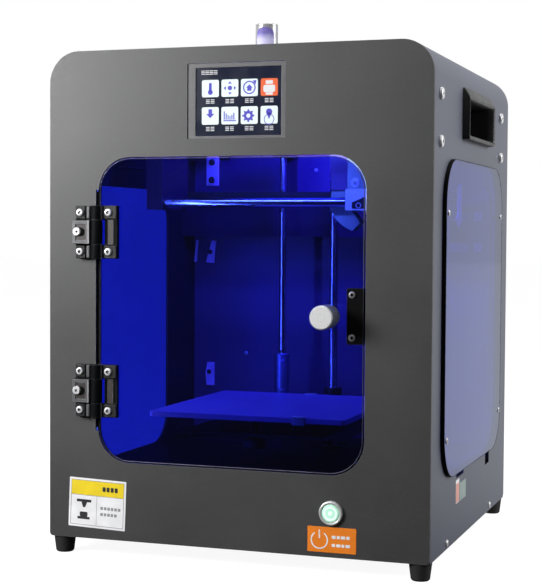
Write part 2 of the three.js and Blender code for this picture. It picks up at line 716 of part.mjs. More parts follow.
function addHead() {
  part("x_carriage", xCarriage(), MATERIAL.blackPlastic);
  const drive = motor("y", HEAD.x0 + 20, EXTRUDER.z, EXTRUDER.face, -1, 1.8);
  part("extruder_motor", drive, MATERIAL.motorBlack);
  part("hot_end", hotEnd(), MATERIAL.aluminium);
  part("part_fan", blower(), MATERIAL.blackPlastic);
  part("part_fan_rotor", blowerRotor(), MATERIAL.motorBlack);
  part("fan_duct", fanDuct(), MATERIAL.blackPlastic);
}

// ---------- Bed and Z axis ----------

function bedCarrier() {
  const { x0, x1, y0, z0, thick, rear, sleeve, sleeveTop } = CARRIER;
  const crossTop = z0 + 14;
  const ribs = [x0, x1 - 3].map((x) => box(x, x + 3, y0 + 20, rear - 20, z0 - 6, z0 + 1));
  const body = joined(
    box(x0, x1, y0, rear - 20, z0, z0 + thick),
    box(Z_ROD.left - 12, Z_ROD.right + 12, rear - 22, rear, z0, crossTop),
    rod("z", Z_ROD.left, Z_ROD.y, crossTop - 1, sleeveTop, sleeve),
    rod("z", Z_ROD.right, Z_ROD.y, crossTop - 1, sleeveTop, sleeve),
    rod("z", SCREW.x, Z_ROD.y, crossTop - 1, crossTop + 8, 8),
    ...ribs,
  );
  const bore = (x, y, radius) => rod("z", x, y, z0 - 5, sleeveTop + 5, radius, 20);
  return cut(
    body,
    bore(Z_ROD.left, Z_ROD.y, Z_ROD.radius + 0.2),
    bore(Z_ROD.right, Z_ROD.y, Z_ROD.radius + 0.2),
    bore(SCREW.x, Z_ROD.y, SCREW.radius + 0.3),
    ...Object.values(LEVEL_KNOBS).map(([x, y]) => bore(x, y, STUD + 0.3)),
  );
}

// The cross beam behind the Z rods, with two uprights whose tabs hold the rods' upper ends.
function crossbeam() {
  const { y, z0, z1, thick, tab } = CROSSBEAM;
  const back = CASE.depth - SHEET - GAP;
  const holders = [Z_ROD.left, Z_ROD.right].map((x) =>
    joined(
      box(x - tab, x + tab, y, y + thick, z1 - 1, Z_ROD.top),
      box(x - tab, x + tab, Z_ROD.y - tab, y + 1, Z_ROD.top - 3, Z_ROD.top),
    ),
  );
  const beam = joined(
    box(-INNER, INNER, y, y + thick, z0, z1),
    box(-INNER, INNER, y, back, z1 - thick, z1),
    ...holders,
  );
  const holes = [Z_ROD.left, Z_ROD.right].map((x) =>
    rod("z", x, Z_ROD.y, Z_ROD.top - 10, Z_ROD.top + 5, Z_ROD.radius + GAP),
  );
  return cut(beam, ...holes);
}

function addZAxis() {
  for (const name of ["left", "right"]) {
    const post = rod("z", Z_ROD[name], Z_ROD.y, FLOOR_TOP + GAP, Z_ROD.top, Z_ROD.radius);
    part(`z_rod_${name}`, post, MATERIAL.steel);
  }
  part("z_crossbeam", crossbeam(), MATERIAL.innerSheet);
  const { x, radius, top, coupler, couplerTop } = SCREW;
  const screw = joined(
    rod("z", x, Z_ROD.y, couplerTop - 1, top, radius, 16),
    rod("z", x, Z_ROD.y, FLOOR_TOP + 2, couplerTop, coupler),
  );
  const shaftBore = rod("z", x, Z_ROD.y, FLOOR_TOP + 1, couplerTop - 2, MOTOR.shaft + 0.3, 12);
  part("lead_screw", cut(screw, shaftBore), MATERIAL.steel);
  part("z_motor", motor("z", x, Z_ROD.y, FLOOR_TOP - SHEET - GAP, 1, 9), MATERIAL.motorBlack);
  part("bed_carrier", bedCarrier(), MATERIAL.motorBlack);
  const outline = roundedRect(BED.x0, BED.x1, BED.y0, BED.y1, BED.corner);
  part("heated_bed", plate("z", outline, BED.top - BED.thick, BED.top, 3), MATERIAL.bed);
  for (const [name, [knobX, knobY]] of Object.entries(LEVEL_KNOBS)) {
    const low = CARRIER.z0 - 9;
    const profile = [
      [0, low],
      [8, low],
      [9, low + 1],
      [9, low + 6],
      [4, low + 8],
      [STUD, low + 8],
      [STUD, BED.top - BED.thick - GAP],
      [0, BED.top - BED.thick - GAP],
    ];
    part(`level_knob_${name}`, turned("z", knobX, knobY, profile, 20), MATERIAL.blackPlastic);
  }
}

addCase();
addSides();
addDoor();
addLid();
addControls();
addYAxis();
addXAxis();
addHead();
addZAxis();

// The origin is the middle of the bounding box on the surface that the feet stand on.
const bounds = new THREE.Box3().setFromObject(printer);
const middle = bounds.getCenter(new THREE.Vector3());
printer.position.set(0, -middle.y, -bounds.min.z);

export default printer;
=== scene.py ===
import math
import random

import bmesh
import bpy
from mathutils import Matrix, Vector


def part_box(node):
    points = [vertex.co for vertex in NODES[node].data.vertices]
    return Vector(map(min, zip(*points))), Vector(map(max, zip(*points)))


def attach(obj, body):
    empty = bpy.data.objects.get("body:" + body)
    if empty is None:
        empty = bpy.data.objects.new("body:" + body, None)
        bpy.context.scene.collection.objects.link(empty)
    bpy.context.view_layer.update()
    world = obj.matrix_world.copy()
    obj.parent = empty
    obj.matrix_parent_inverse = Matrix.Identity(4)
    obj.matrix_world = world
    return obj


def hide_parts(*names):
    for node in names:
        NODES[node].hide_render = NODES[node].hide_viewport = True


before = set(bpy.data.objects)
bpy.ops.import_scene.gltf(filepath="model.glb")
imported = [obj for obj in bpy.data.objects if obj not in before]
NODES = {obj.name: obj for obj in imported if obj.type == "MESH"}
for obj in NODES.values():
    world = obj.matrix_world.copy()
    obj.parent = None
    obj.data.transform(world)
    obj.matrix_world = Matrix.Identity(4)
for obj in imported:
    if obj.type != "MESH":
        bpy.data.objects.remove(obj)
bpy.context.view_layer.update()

MM = 0.001
PANEL_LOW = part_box("front_panel")[0]
CASE_MIDDLE = (0.0, 0.0, 0.2)


def at(x, y, z):
    """A case point in mm: x from the middle, y back from the front panel's face, z up from the lower edge."""
    return Vector((x * MM, PANEL_LOW.y + y * MM, PANEL_LOW.z + z * MM))


def reach(node):
    """A CAD node's lowest and highest corner, in the case's millimetres."""
    low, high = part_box(node)
    start = at(0, 0, 0)
    return [tuple((c - start) / MM) for c in (low, high)]


# ---------- Node trees ----------


class Shader:
    """The node tree of a material or the world, built up from noise, masks and one surface."""

    def __init__(self, name, kind="materials"):
        self.owner = getattr(bpy.data, kind).new(name)
        self.owner.use_nodes = True
        self.tree = self.owner.node_tree
        self.tree.nodes.clear()
        self.coord = self.node("ShaderNodeTexCoord").outputs["Object"]

    def node(self, kind, **settings):
        made = self.tree.nodes.new(kind)
        for key, value in settings.items():
            setattr(made, key, value)
        return made

    def wire(self, source, target):
        if isinstance(source, (int, float, tuple)):
            target.default_value = source
        else:
            self.tree.links.new(source, target)

    def math(self, operation, a, b=0.0):
        made = self.node("ShaderNodeMath", operation=operation)
        self.wire(a, made.inputs[0])
        self.wire(b, made.inputs[1])
        return made.outputs[0]

    def stretched(self, scale):
        made = self.node("ShaderNodeMapping")
        self.wire(self.coord, made.inputs["Vector"])
        made.inputs["Scale"].default_value = scale
        return made.outputs[0]

    def noise(self, scale, detail=3.0, stretch=(1, 1, 1)):
        made = self.node("ShaderNodeTexNoise")
        self.wire(self.stretched(stretch), made.inputs["Vector"])
        made.inputs["Scale"].default_value = scale
        made.inputs["Detail"].default_value = detail
        made.inputs["Roughness"].default_value = 0.55
        return made.outputs["Fac"]

    def cells(self, scale):
        made = self.node("ShaderNodeTexVoronoi")
        self.wire(self.stretched((1, 1, 1)), made.inputs["Vector"])
        made.inputs["Scale"].default_value = scale
        return made.outputs["Distance"]

    def rings(self, centre, axis, scale):
        """Noise that changes only with the distance from an axis: the marks a lathe leaves."""
        flat = self.node("ShaderNodeMapping", vector_type="POINT")
        self.wire(self.coord, flat.inputs["Vector"])
        shift = [-c for c in centre]
        size = [1.0, 1.0, 1.0]
        size["xyz".index(axis)] = 0.0
        flat.inputs["Location"].default_value = [s * k for s, k in zip(shift, size)]
        flat.inputs["Scale"].default_value = size
        length = self.node("ShaderNodeVectorMath", operation="LENGTH")
        self.wire(flat.outputs[0], length.inputs[0])
        made = self.node("ShaderNodeTexNoise", noise_dimensions="1D")
        self.wire(self.math("MULTIPLY", length.outputs["Value"], scale), made.inputs["W"])
        made.inputs["Scale"].default_value = 1.0
        made.inputs["Detail"].default_value = 2.0
        return made.outputs["Fac"]

    def span(self, value, low, high, to_low=0.0, to_high=1.0, curve="LINEAR"):
        made = self.node("ShaderNodeMapRange", interpolation_type=curve)
        self.wire(value, made.inputs["Value"])
        for key, number in (("From Min", low), ("From Max", high), ("To Min", to_low), ("To Max", to_high)):
            made.inputs[key].default_value = number
        return made.outputs["Result"]

    def blend(self, amount, first, second):
        """A colour between first, at 0, and second, at 1."""
        made = self.node("ShaderNodeMix", data_type="RGBA")
        self.wire(amount, made.inputs["Factor"])
        for socket, value in zip((made.inputs[6], made.inputs[7]), (first, second)):
            self.wire(value if not isinstance(value, tuple) else (*value[:3], 1.0), socket)
        return made.outputs[2]

    def edges(self, radius):
        """1 along sharp edges, 0 away from them."""
        round_off = self.node("ShaderNodeBevel", samples=3)
        round_off.inputs["Radius"].default_value = radius
        plain = self.node("ShaderNodeNewGeometry")
        dot = self.node("ShaderNodeVectorMath", operation="DOT_PRODUCT")
        self.wire(round_off.outputs[0], dot.inputs[0])
        self.wire(plain.outputs["Normal"], dot.inputs[1])
        return self.span(dot.outputs["Value"], 0.985, 0.8)

    def recess_shade(self, reach_in):
        """1 deep in sockets and slots, 0 on open faces: where shade is painted in."""
        shut = self.node("ShaderNodeAmbientOcclusion", samples=6, only_local=True)
        shut.inputs["Distance"].default_value = reach_in
        return self.span(shut.outputs["AO"], 0.75, 0.35)

    def inside(self):
        """1 on faces turned to the middle of the case, 0 on those turned away from it."""
        outward = self.node("ShaderNodeVectorMath", operation="SUBTRACT")
        self.wire(self.coord, outward.inputs[0])
        outward.inputs[1].default_value = CASE_MIDDLE
        facing = self.node("ShaderNodeVectorMath", operation="DOT_PRODUCT")
        self.wire(outward.outputs[0], facing.inputs[0])
        self.wire(self.node("ShaderNodeTexCoord").outputs["Normal"], facing.inputs[1])
        return self.span(facing.outputs["Value"], 0.005, -0.005)

    def along(self, axis):
        """How far a face is turned to an axis, from 0 to 1."""
        split = self.node("ShaderNodeSeparateXYZ")
        self.wire(self.node("ShaderNodeTexCoord").outputs["Normal"], split.inputs[0])
        return self.math("ABSOLUTE", split.outputs[axis.upper()])

    def bump(self, height, strength, distance):
        made = self.node("ShaderNodeBump")
        made.inputs["Strength"].default_value = strength
        made.inputs["Distance"].default_value = distance
        self.wire(height, made.inputs["Height"])
        return made.outputs[0]

    def surface(self, color, roughness, metallic=0.0, normal=None, coat=0.0, glow=None, specular=0.5):
        made = self.node("ShaderNodeBsdfPrincipled")
        self.wire(color if not isinstance(color, tuple) else (*color[:3], 1.0), made.inputs["Base Color"])
        self.wire(roughness, made.inputs["Roughness"])
        made.inputs["Metallic"].default_value = metallic
        made.inputs["Coat Weight"].default_value = coat
        made.inputs["Coat Roughness"].default_value = 0.12
        made.inputs["Specular IOR Level"].default_value = specular
        if normal:
            self.wire(normal, made.inputs["Normal"])
        if glow:
            color, strength = glow
            self.wire(color if not isinstance(color, tuple) else (*color, 1.0), made.inputs["Emission Color"])
            made.inputs["Emission Strength"].default_value = strength
        return self.done(made.outputs[0])

    def done(self, shader, output="ShaderNodeOutputMaterial"):
        self.wire(shader, self.node(output).inputs["Surface"])
        return self.owner


# ---------- Camera, floor and light ----------

CAMERA_PLACE = (380.9, -1017.9, 233.2)
YAW, PITCH, ROLL = 0.33207, 0.03848, -0.00615
LENS = 91.0
DIM, WORLD_BEHIND, FLOOR_BEHIND = 0.05, 0.7, 0.78
WORLD_RISE, FLOOR_RISE = (-0.4, 0.7), (-0.2, 0.5)
FLOOR_HALF, FLOOR_TONE, FLOOR_GLOW = 12, 0.2, 0.93
# Name, place and target in the case's millimetres, width and height in metres, watts and colour.
# The three chamber lights are inside the case, and stand for the blue light that it glows with.
LIGHTS = (
    ("key_softbox", (-670, -610, 490), (-100, 0, 230), (0.45, 0.35), 11.8, (1, 1, 1)),
    ("front_softbox", (-250, -1350, 1350), (0, 0, 300), (1.1, 0.7), 7.3, (1, 1, 1)),
    ("top_softbox", (0, 150, 1300), (0, 120, 0), (0.8, 0.8), 7, (1, 1, 1)),
    ("side_softbox", (1600, 450, 800), (150, 150, 230), (1.0, 0.7), 19.8, (1, 1, 1)),
    ("chamber_fill", (65, 172, 346), (15, 292, 235), (0.06, 0.06), 3.1, (0.2, 0.09, 1.0)),
    ("chamber_top_strip", (-20, 22, 336), (-20, 160, 230), (0.24, 0.012), 0.8, (0.42, 0.5, 1.0)),
    ("chamber_left_strip", (-129, 14, 175), (0, 240, 175), (0.012, 0.17), 0.4, (0.42, 0.5, 1.0)),
)


def add_camera():
    data = bpy.data.cameras.new("camera")
    data.lens = LENS
    data.sensor_width = 36
    data.clip_start = 0.01
    data.clip_end = 100
    camera = bpy.data.objects.new("camera", data)
    bpy.context.scene.collection.objects.link(camera)
    forward = Vector((-math.sin(YAW) * math.cos(PITCH), math.cos(YAW) * math.cos(PITCH), -math.sin(PITCH)))
    level = Vector((math.cos(YAW), math.sin(YAW), 0))
    below = forward.cross(level)
    right = math.cos(ROLL) * level + math.sin(ROLL) * below
    down = math.cos(ROLL) * below - math.sin(ROLL) * level
    turn = Matrix((right, -down, -forward)).transposed().to_4x4()
    camera.matrix_world = Matrix.Translation(at(*CAMERA_PLACE)) @ turn
    bpy.context.scene.camera = camera


def add_area_light(name, place, target, size, power, color):
    data = bpy.data.lights.new(name, "AREA")
    data.shape = "RECTANGLE"
    data.size, data.size_y = size
    data.energy = power
    data.color = color
    light = bpy.data.objects.new(name, data)
    light.location = at(*place)
    light.rotation_euler = (at(*target) - light.location).to_track_quat("-Z", "Y").to_euler()
    light.visible_camera = False
    bpy.context.scene.collection.objects.link(light)


def add_world():
    """White to the camera; for the light that falls on the object, dim in front and bright behind."""
    s = Shader("studio", "worlds")
    bpy.context.scene.world = s.owner
    place = s.node("ShaderNodeSeparateXYZ")
    s.wire(s.node("ShaderNodeTexCoord").outputs["Generated"], place.inputs[0])
    pick = s.node("ShaderNodeMix")
    s.wire(s.node("ShaderNodeLightPath").outputs["Is Camera Ray"], pick.inputs["Factor"])
    s.wire(s.span(place.outputs["Y"], *WORLD_RISE, DIM, WORLD_BEHIND, "SMOOTHSTEP"), pick.inputs["A"])
    pick.inputs["B"].default_value = 1.0
    background = s.node("ShaderNodeBackground")
    background.inputs["Color"].default_value = (1, 1, 1, 1)
    s.wire(pick.outputs["Result"], background.inputs["Strength"])
    s.done(background.outputs[0], "ShaderNodeOutputWorld")


def add_floor():
    """A pale sweep: bright to the camera, and in reflections dim in front and bright behind."""
    s = Shader("studio_floor")
    place = s.node("ShaderNodeSeparateXYZ")
    s.wire(s.coord, place.inputs[0])
    bounce = s.node("ShaderNodeEmission")
    level = s.span(place.outputs["Y"], *FLOOR_RISE, DIM, FLOOR_BEHIND, "SMOOTHSTEP")
    s.wire(level, bounce.inputs["Strength"])
    pale = s.node("ShaderNodeBsdfDiffuse")
    pale.inputs["Color"].default_value = (FLOOR_TONE, FLOOR_TONE, FLOOR_TONE, 1)
    glow = s.node("ShaderNodeEmission")
    glow.inputs["Strength"].default_value = FLOOR_GLOW
    lit = s.node("ShaderNodeAddShader")
    pick = s.node("ShaderNodeMixShader")
    seen = s.node("ShaderNodeLightPath").outputs["Is Camera Ray"]
    for source, target in zip((pale.outputs[0], glow.outputs[0]), lit.inputs):
        s.wire(source, target)
    for source, target in zip((seen, bounce.outputs[0], lit.outputs[0]), pick.inputs):
        s.wire(source, target)
    mesh = bpy.data.meshes.new("studio_floor")
    corners = [(x * FLOOR_HALF, y * FLOOR_HALF, 0) for x, y in ((-1, -1), (1, -1), (1, 1), (-1, 1))]
    mesh.from_pydata(corners, [], [(0, 1, 2, 3)])
    mesh.materials.append(s.done(pick.outputs[0]))
    floor = bpy.data.objects.new("studio_floor", mesh)
    bpy.context.scene.collection.objects.link(floor)


def add_stage():
    bpy.context.scene.view_settings.view_transform = "Standard"
    add_world()
    add_floor()
    for light in LIGHTS:
        add_area_light(*light)


add_camera()
add_stage()

# ---------- Materials ----------


def tone(color, amount):
    return tuple(min(1.0, c * amount) for c in color[:3])


def coated_metal(name, color, roughness, metallic, coat, specular=0.5, grain=(1, 1, 1), inside_shade=None):
    """Painted or powder-coated sheet: cloudy tone, a fine grain, paler fleck, worn edges with a painted
    highlight, and painted shade on the faces turned into the case if a colour for it is given.
    """
    grain_scale, depth, mottle, wear_and_highlight, fleck = coat
    s = Shader(name)
    cloud = s.span(s.noise(14, 4), 0.3, 0.7)
    fine = s.noise(grain_scale, 2, grain)
    base = s.blend(cloud, tone(color, 1 - mottle), tone(color, 1 + mottle))
    base = s.blend(s.span(fine, 0.52, 0.75, 0, fleck), base, tone(color, 2.6))
    base = s.blend(s.span(fine, 0.48, 0.25, 0, fleck), base, tone(color, 0.35))
    # Painted highlight and worn paint: every sharp edge is paled towards bare grey, more in some patches than
    # others.
    worn_and_highlit = s.math("MULTIPLY", s.edges(0.0006), s.span(s.noise(160, 3), 0.35, 0.65, 0.25 * wear_and_highlight, wear_and_highlight))
    base = s.blend(worn_and_highlit, base, (0.42, 0.42, 0.44))
    # Painted shade: faces turned into the case take a darker colour, for the dim inside of the case.
    if inside_shade:
        base = s.blend(s.inside(), base, s.blend(fine, tone(inside_shade, 0.8), tone(inside_shade, 1.2)))
    grainy = s.span(fine, 0.2, 0.8, roughness - 0.07, roughness + 0.07)
    rough = s.math("ADD", grainy, s.span(cloud, 0, 1, -0.03, 0.03))
    return s.surface(base, rough, metallic, s.bump(fine, depth, 0.0002), specular=specular)


def moulded_plastic(name, color, roughness, texture=2200, depth=0.2, wear_and_highlight=0.25):
    """Injection-moulded plastic with a spark-eroded grain, and worn edges with a painted highlight."""
    s = Shader(name)
    grain = s.cells(texture)
    base = s.blend(s.span(s.noise(40, 3), 0.3, 0.7), tone(color, 0.85), tone(color, 1.2))
    # Painted highlight and worn moulding: sharp edges are paled towards grey, more in some patches than
    # others.
    worn_and_highlit = s.math("MULTIPLY", s.edges(0.0005), s.span(s.noise(300, 2), 0.3, 0.7, 0.2 * wear_and_highlight, wear_and_highlight))
    base = s.blend(worn_and_highlit, base, (0.3, 0.3, 0.31))
    rough = s.span(s.noise(120, 3), 0.3, 0.7, roughness - 0.06, roughness + 0.06)
    return s.surface(base, rough, 0.0, s.bump(grain, depth, 0.0001))


def bare_metal(name, color, roughness, scale, depth, metallic=1.0, painted_shade=0.0, patchy=1.0, stretch=(1, 1, 1)):
    """Ground, drawn or milled metal: grain, faint stains, a painted highlight along the edges and painted
    shade in the recesses.
    """
    s = Shader(name)
    grain = s.noise(scale, 3, stretch)
    stain = s.span(s.noise(30, 4), 0.35, 0.7)
    base = s.blend(stain, tone(color, 0.88), tone(color, 1.06))
    # Painted highlight: every sharp edge is paled.
    base = s.blend(s.math("MULTIPLY", s.edges(0.0004), 0.5), base, tone(color, 1.35))
    # Painted shade: deep sockets and slots are darkened nearly to black.
    if painted_shade:
        base = s.blend(s.recess_shade(painted_shade), base, (0.01, 0.01, 0.012))
    fine = s.span(grain, 0.25, 0.75, roughness - 0.07 * patchy, roughness + 0.09 * patchy)
    rough = s.math("ADD", fine, s.span(stain, 0, 1, 0.04 * patchy, 0.0))
    return s.surface(base, rough, metallic, s.bump(grain, depth, 0.0001))


def turned_metal(name, face, side, roughness, centre, axis):
    """A turned knob: lathe rings, a pale end face and a side painted darker as painted shade, with a painted
    highlight on its edges.
    """
    s = Shader(name)
    marks = s.rings(centre, axis, 5200)
    grain = s.noise(1600, 2)
    # Painted shade: faces turned away from the knob's axis take the darker side colour.
    base = s.blend(s.span(s.along(axis), 0.5, 0.9), side, face)
    base = s.blend(s.span(marks, 0.35, 0.65, 0.0, 0.14), base, (0.25, 0.25, 0.26))
    # Painted highlight: the edges are paled nearly to white.
    base = s.blend(s.math("MULTIPLY", s.edges(0.0006), 0.6), base, (0.95, 0.95, 0.96))
    marked = s.span(marks, 0.3, 0.7, roughness - 0.06, roughness + 0.08)
    rough = s.math("ADD", marked, s.span(grain, 0.3, 0.7, -0.03, 0.03))
    return s.surface(base, rough, 0.3, s.bump(marks, 0.1, 0.0001))


def tinted_acrylic(name, tint):
    """Clear coloured sheet: each face tints what is behind it and adds its own faint reflection."""
    s = Shader(name)
    clear = s.node("ShaderNodeBsdfTransparent")
    haze = s.span(s.noise(9, 3), 0.35, 0.7)
    s.wire(s.blend(haze, tint, tone(tint, 0.97)), clear.inputs["Color"])
    gloss = s.node("ShaderNodeBsdfAnisotropic")
    gloss.inputs["Color"].default_value = (0.78, 0.83, 1, 1)
    scuffs = s.noise(700, 2, (1, 1, 0.15))
    smear = s.noise(22, 3)
    smeared = s.span(smear, 0.4, 0.75, 0.03, 0.12)
    s.wire(s.math("ADD", smeared, s.span(scuffs, 0.6, 0.8, 0.0, 0.06)), gloss.inputs["Roughness"])
    s.wire(s.bump(smear, 0.015, 0.001), gloss.inputs["Normal"])
    layer = s.node("ShaderNodeLayerWeight")
    layer.inputs["Blend"].default_value = 0.5
    grazing = s.math("POWER", layer.outputs["Facing"], 5.0)
    mix = s.node("ShaderNodeMixShader")
    s.wire(s.math("ADD", s.math("MULTIPLY", grazing, 0.96), 0.04), mix.inputs["Fac"])
    s.wire(clear.outputs[0], mix.inputs[1])
    s.wire(gloss.outputs[0], mix.inputs[2])
    return s.done(mix.outputs[0])


def frosted_edge_with_highlight(name, dark, pale):
    """Cut edge of tinted sheet, with a painted highlight: it is pale where it faces up and dark elsewhere."""
    s = Shader(name)
    facing = s.node("ShaderNodeSeparateXYZ")
    s.wire(s.node("ShaderNodeNewGeometry").outputs["Normal"], facing.inputs[0])
    # Painted highlight: faces turned upwards are paled.
    base = s.blend(s.span(facing.outputs["Z"], 0.15, 0.7), dark, pale)
    base = s.blend(s.span(s.noise(240, 3), 0.4, 0.7, 0.0, 0.5), base, dark)
    rough = s.span(s.noise(900, 2), 0.3, 0.7, 0.4, 0.6)
    return s.surface(base, rough, 0.0, s.bump(s.noise(1500, 2), 0.2, 0.0001))


def painted_reflection(name, low, high, bottom, top):
    """A painted reflection on the knob, pale at its foot and deeper in colour towards its top."""
    s = Shader(name)
    place = s.node("ShaderNodeSeparateXYZ")
    s.wire(s.coord, place.inputs[0])
    height = s.math("ADD", place.outputs["Z"], s.math("MULTIPLY", s.noise(200, 2), 0.002))
    # Painted reflection: pale low on the knob, deep violet higher up.
    base = s.blend(s.span(height, low, high), bottom, top)
    return s.surface(base, s.span(s.noise(300, 2), 0.3, 0.7, 0.4, 0.5), 0.0, specular=0.1)


def printed_film(name, color, roughness=0.35, glow=0.0):
    """Ink or vinyl: slight print mottle, soft orange-peel gloss."""
    s = Shader(name)
    dots = s.cells(5200)
    base = s.blend(s.span(s.noise(90, 3), 0.3, 0.7), tone(color, 0.93), tone(color, 1.05))
    base = s.blend(s.span(dots, 0.0, 0.5, 0.06, 0.0), base, tone(color, 0.7))
    rough = s.span(s.noise(260, 2), 0.3, 0.7, roughness - 0.06, roughness + 0.06)
    peel = s.bump(s.noise(420, 2), 0.05, 0.0002)
    return s.surface(base, rough, 0.0, peel, 0.2, (base, glow) if glow else None)


def lit_screen(name, color, glow, roughness=0.12):
    """A lit display layer: a fine pixel grid behind a glossy face."""
    s = Shader(name)
    lines = s.node("ShaderNodeTexWave", bands_direction="Z")
    s.wire(s.stretched((1, 1, 1)), lines.inputs["Vector"])
    lines.inputs["Scale"].default_value = 900
    base = s.blend(s.span(lines.outputs["Fac"], 0, 1, 0.0, 0.12), color, tone(color, 0.6))
    base = s.blend(s.span(s.noise(25, 2), 0.3, 0.7, 0.0, 0.15), base, tone(color, 1.3))
    rough = s.span(s.noise(60, 2), 0.3, 0.7, roughness - 0.04, roughness + 0.05)
    return s.surface(base, rough, glow=(base, glow))


CASE_PAINT, DARK = (0.106, 0.115, 0.152), (0.016, 0.016, 0.018)
# Coatings: the grain's scale and depth, then how strong the mottle, the worn edges with their painted
# highlight, and the fleck are.
POWDER = (1500, 0.14, 0.08, 0.4, 0.12)
BRUSHED = (900, 0.06, 0.08, 0.45, 0.07)
SHEET = (1500, 0.12, 0.12, 0.3, 0.1)
OXIDE = (1800, 0.1, 0.15, 0.35, 0.1)
OXIDE_NEW = (1800, 0.1, 0.15, 0.15, 0.1)
ZINC = (1900, 0.2, 0.15, 0.35, 0.1)
ZINC_PAD = (1900, 0.2, 0.15, 0.7, 0.15)
ZINC_WORN = (1900, 0.2, 0.15, 0.8, 0.15)
ZINC_NEW = (1900, 0.2, 0.15, 0.3, 0.1)
BRACKET_ZINC = (700, 0.1, 0.12, 0.4, 0.1)
BEZEL = (900, 0.1, 0.1, 0.8, 0.1)
BED_FILM = (2400, 0.3, 0.08, 0.2, 0.15)
SOLDER = (700, 0.1, 0.25, 0.3, 0.3)
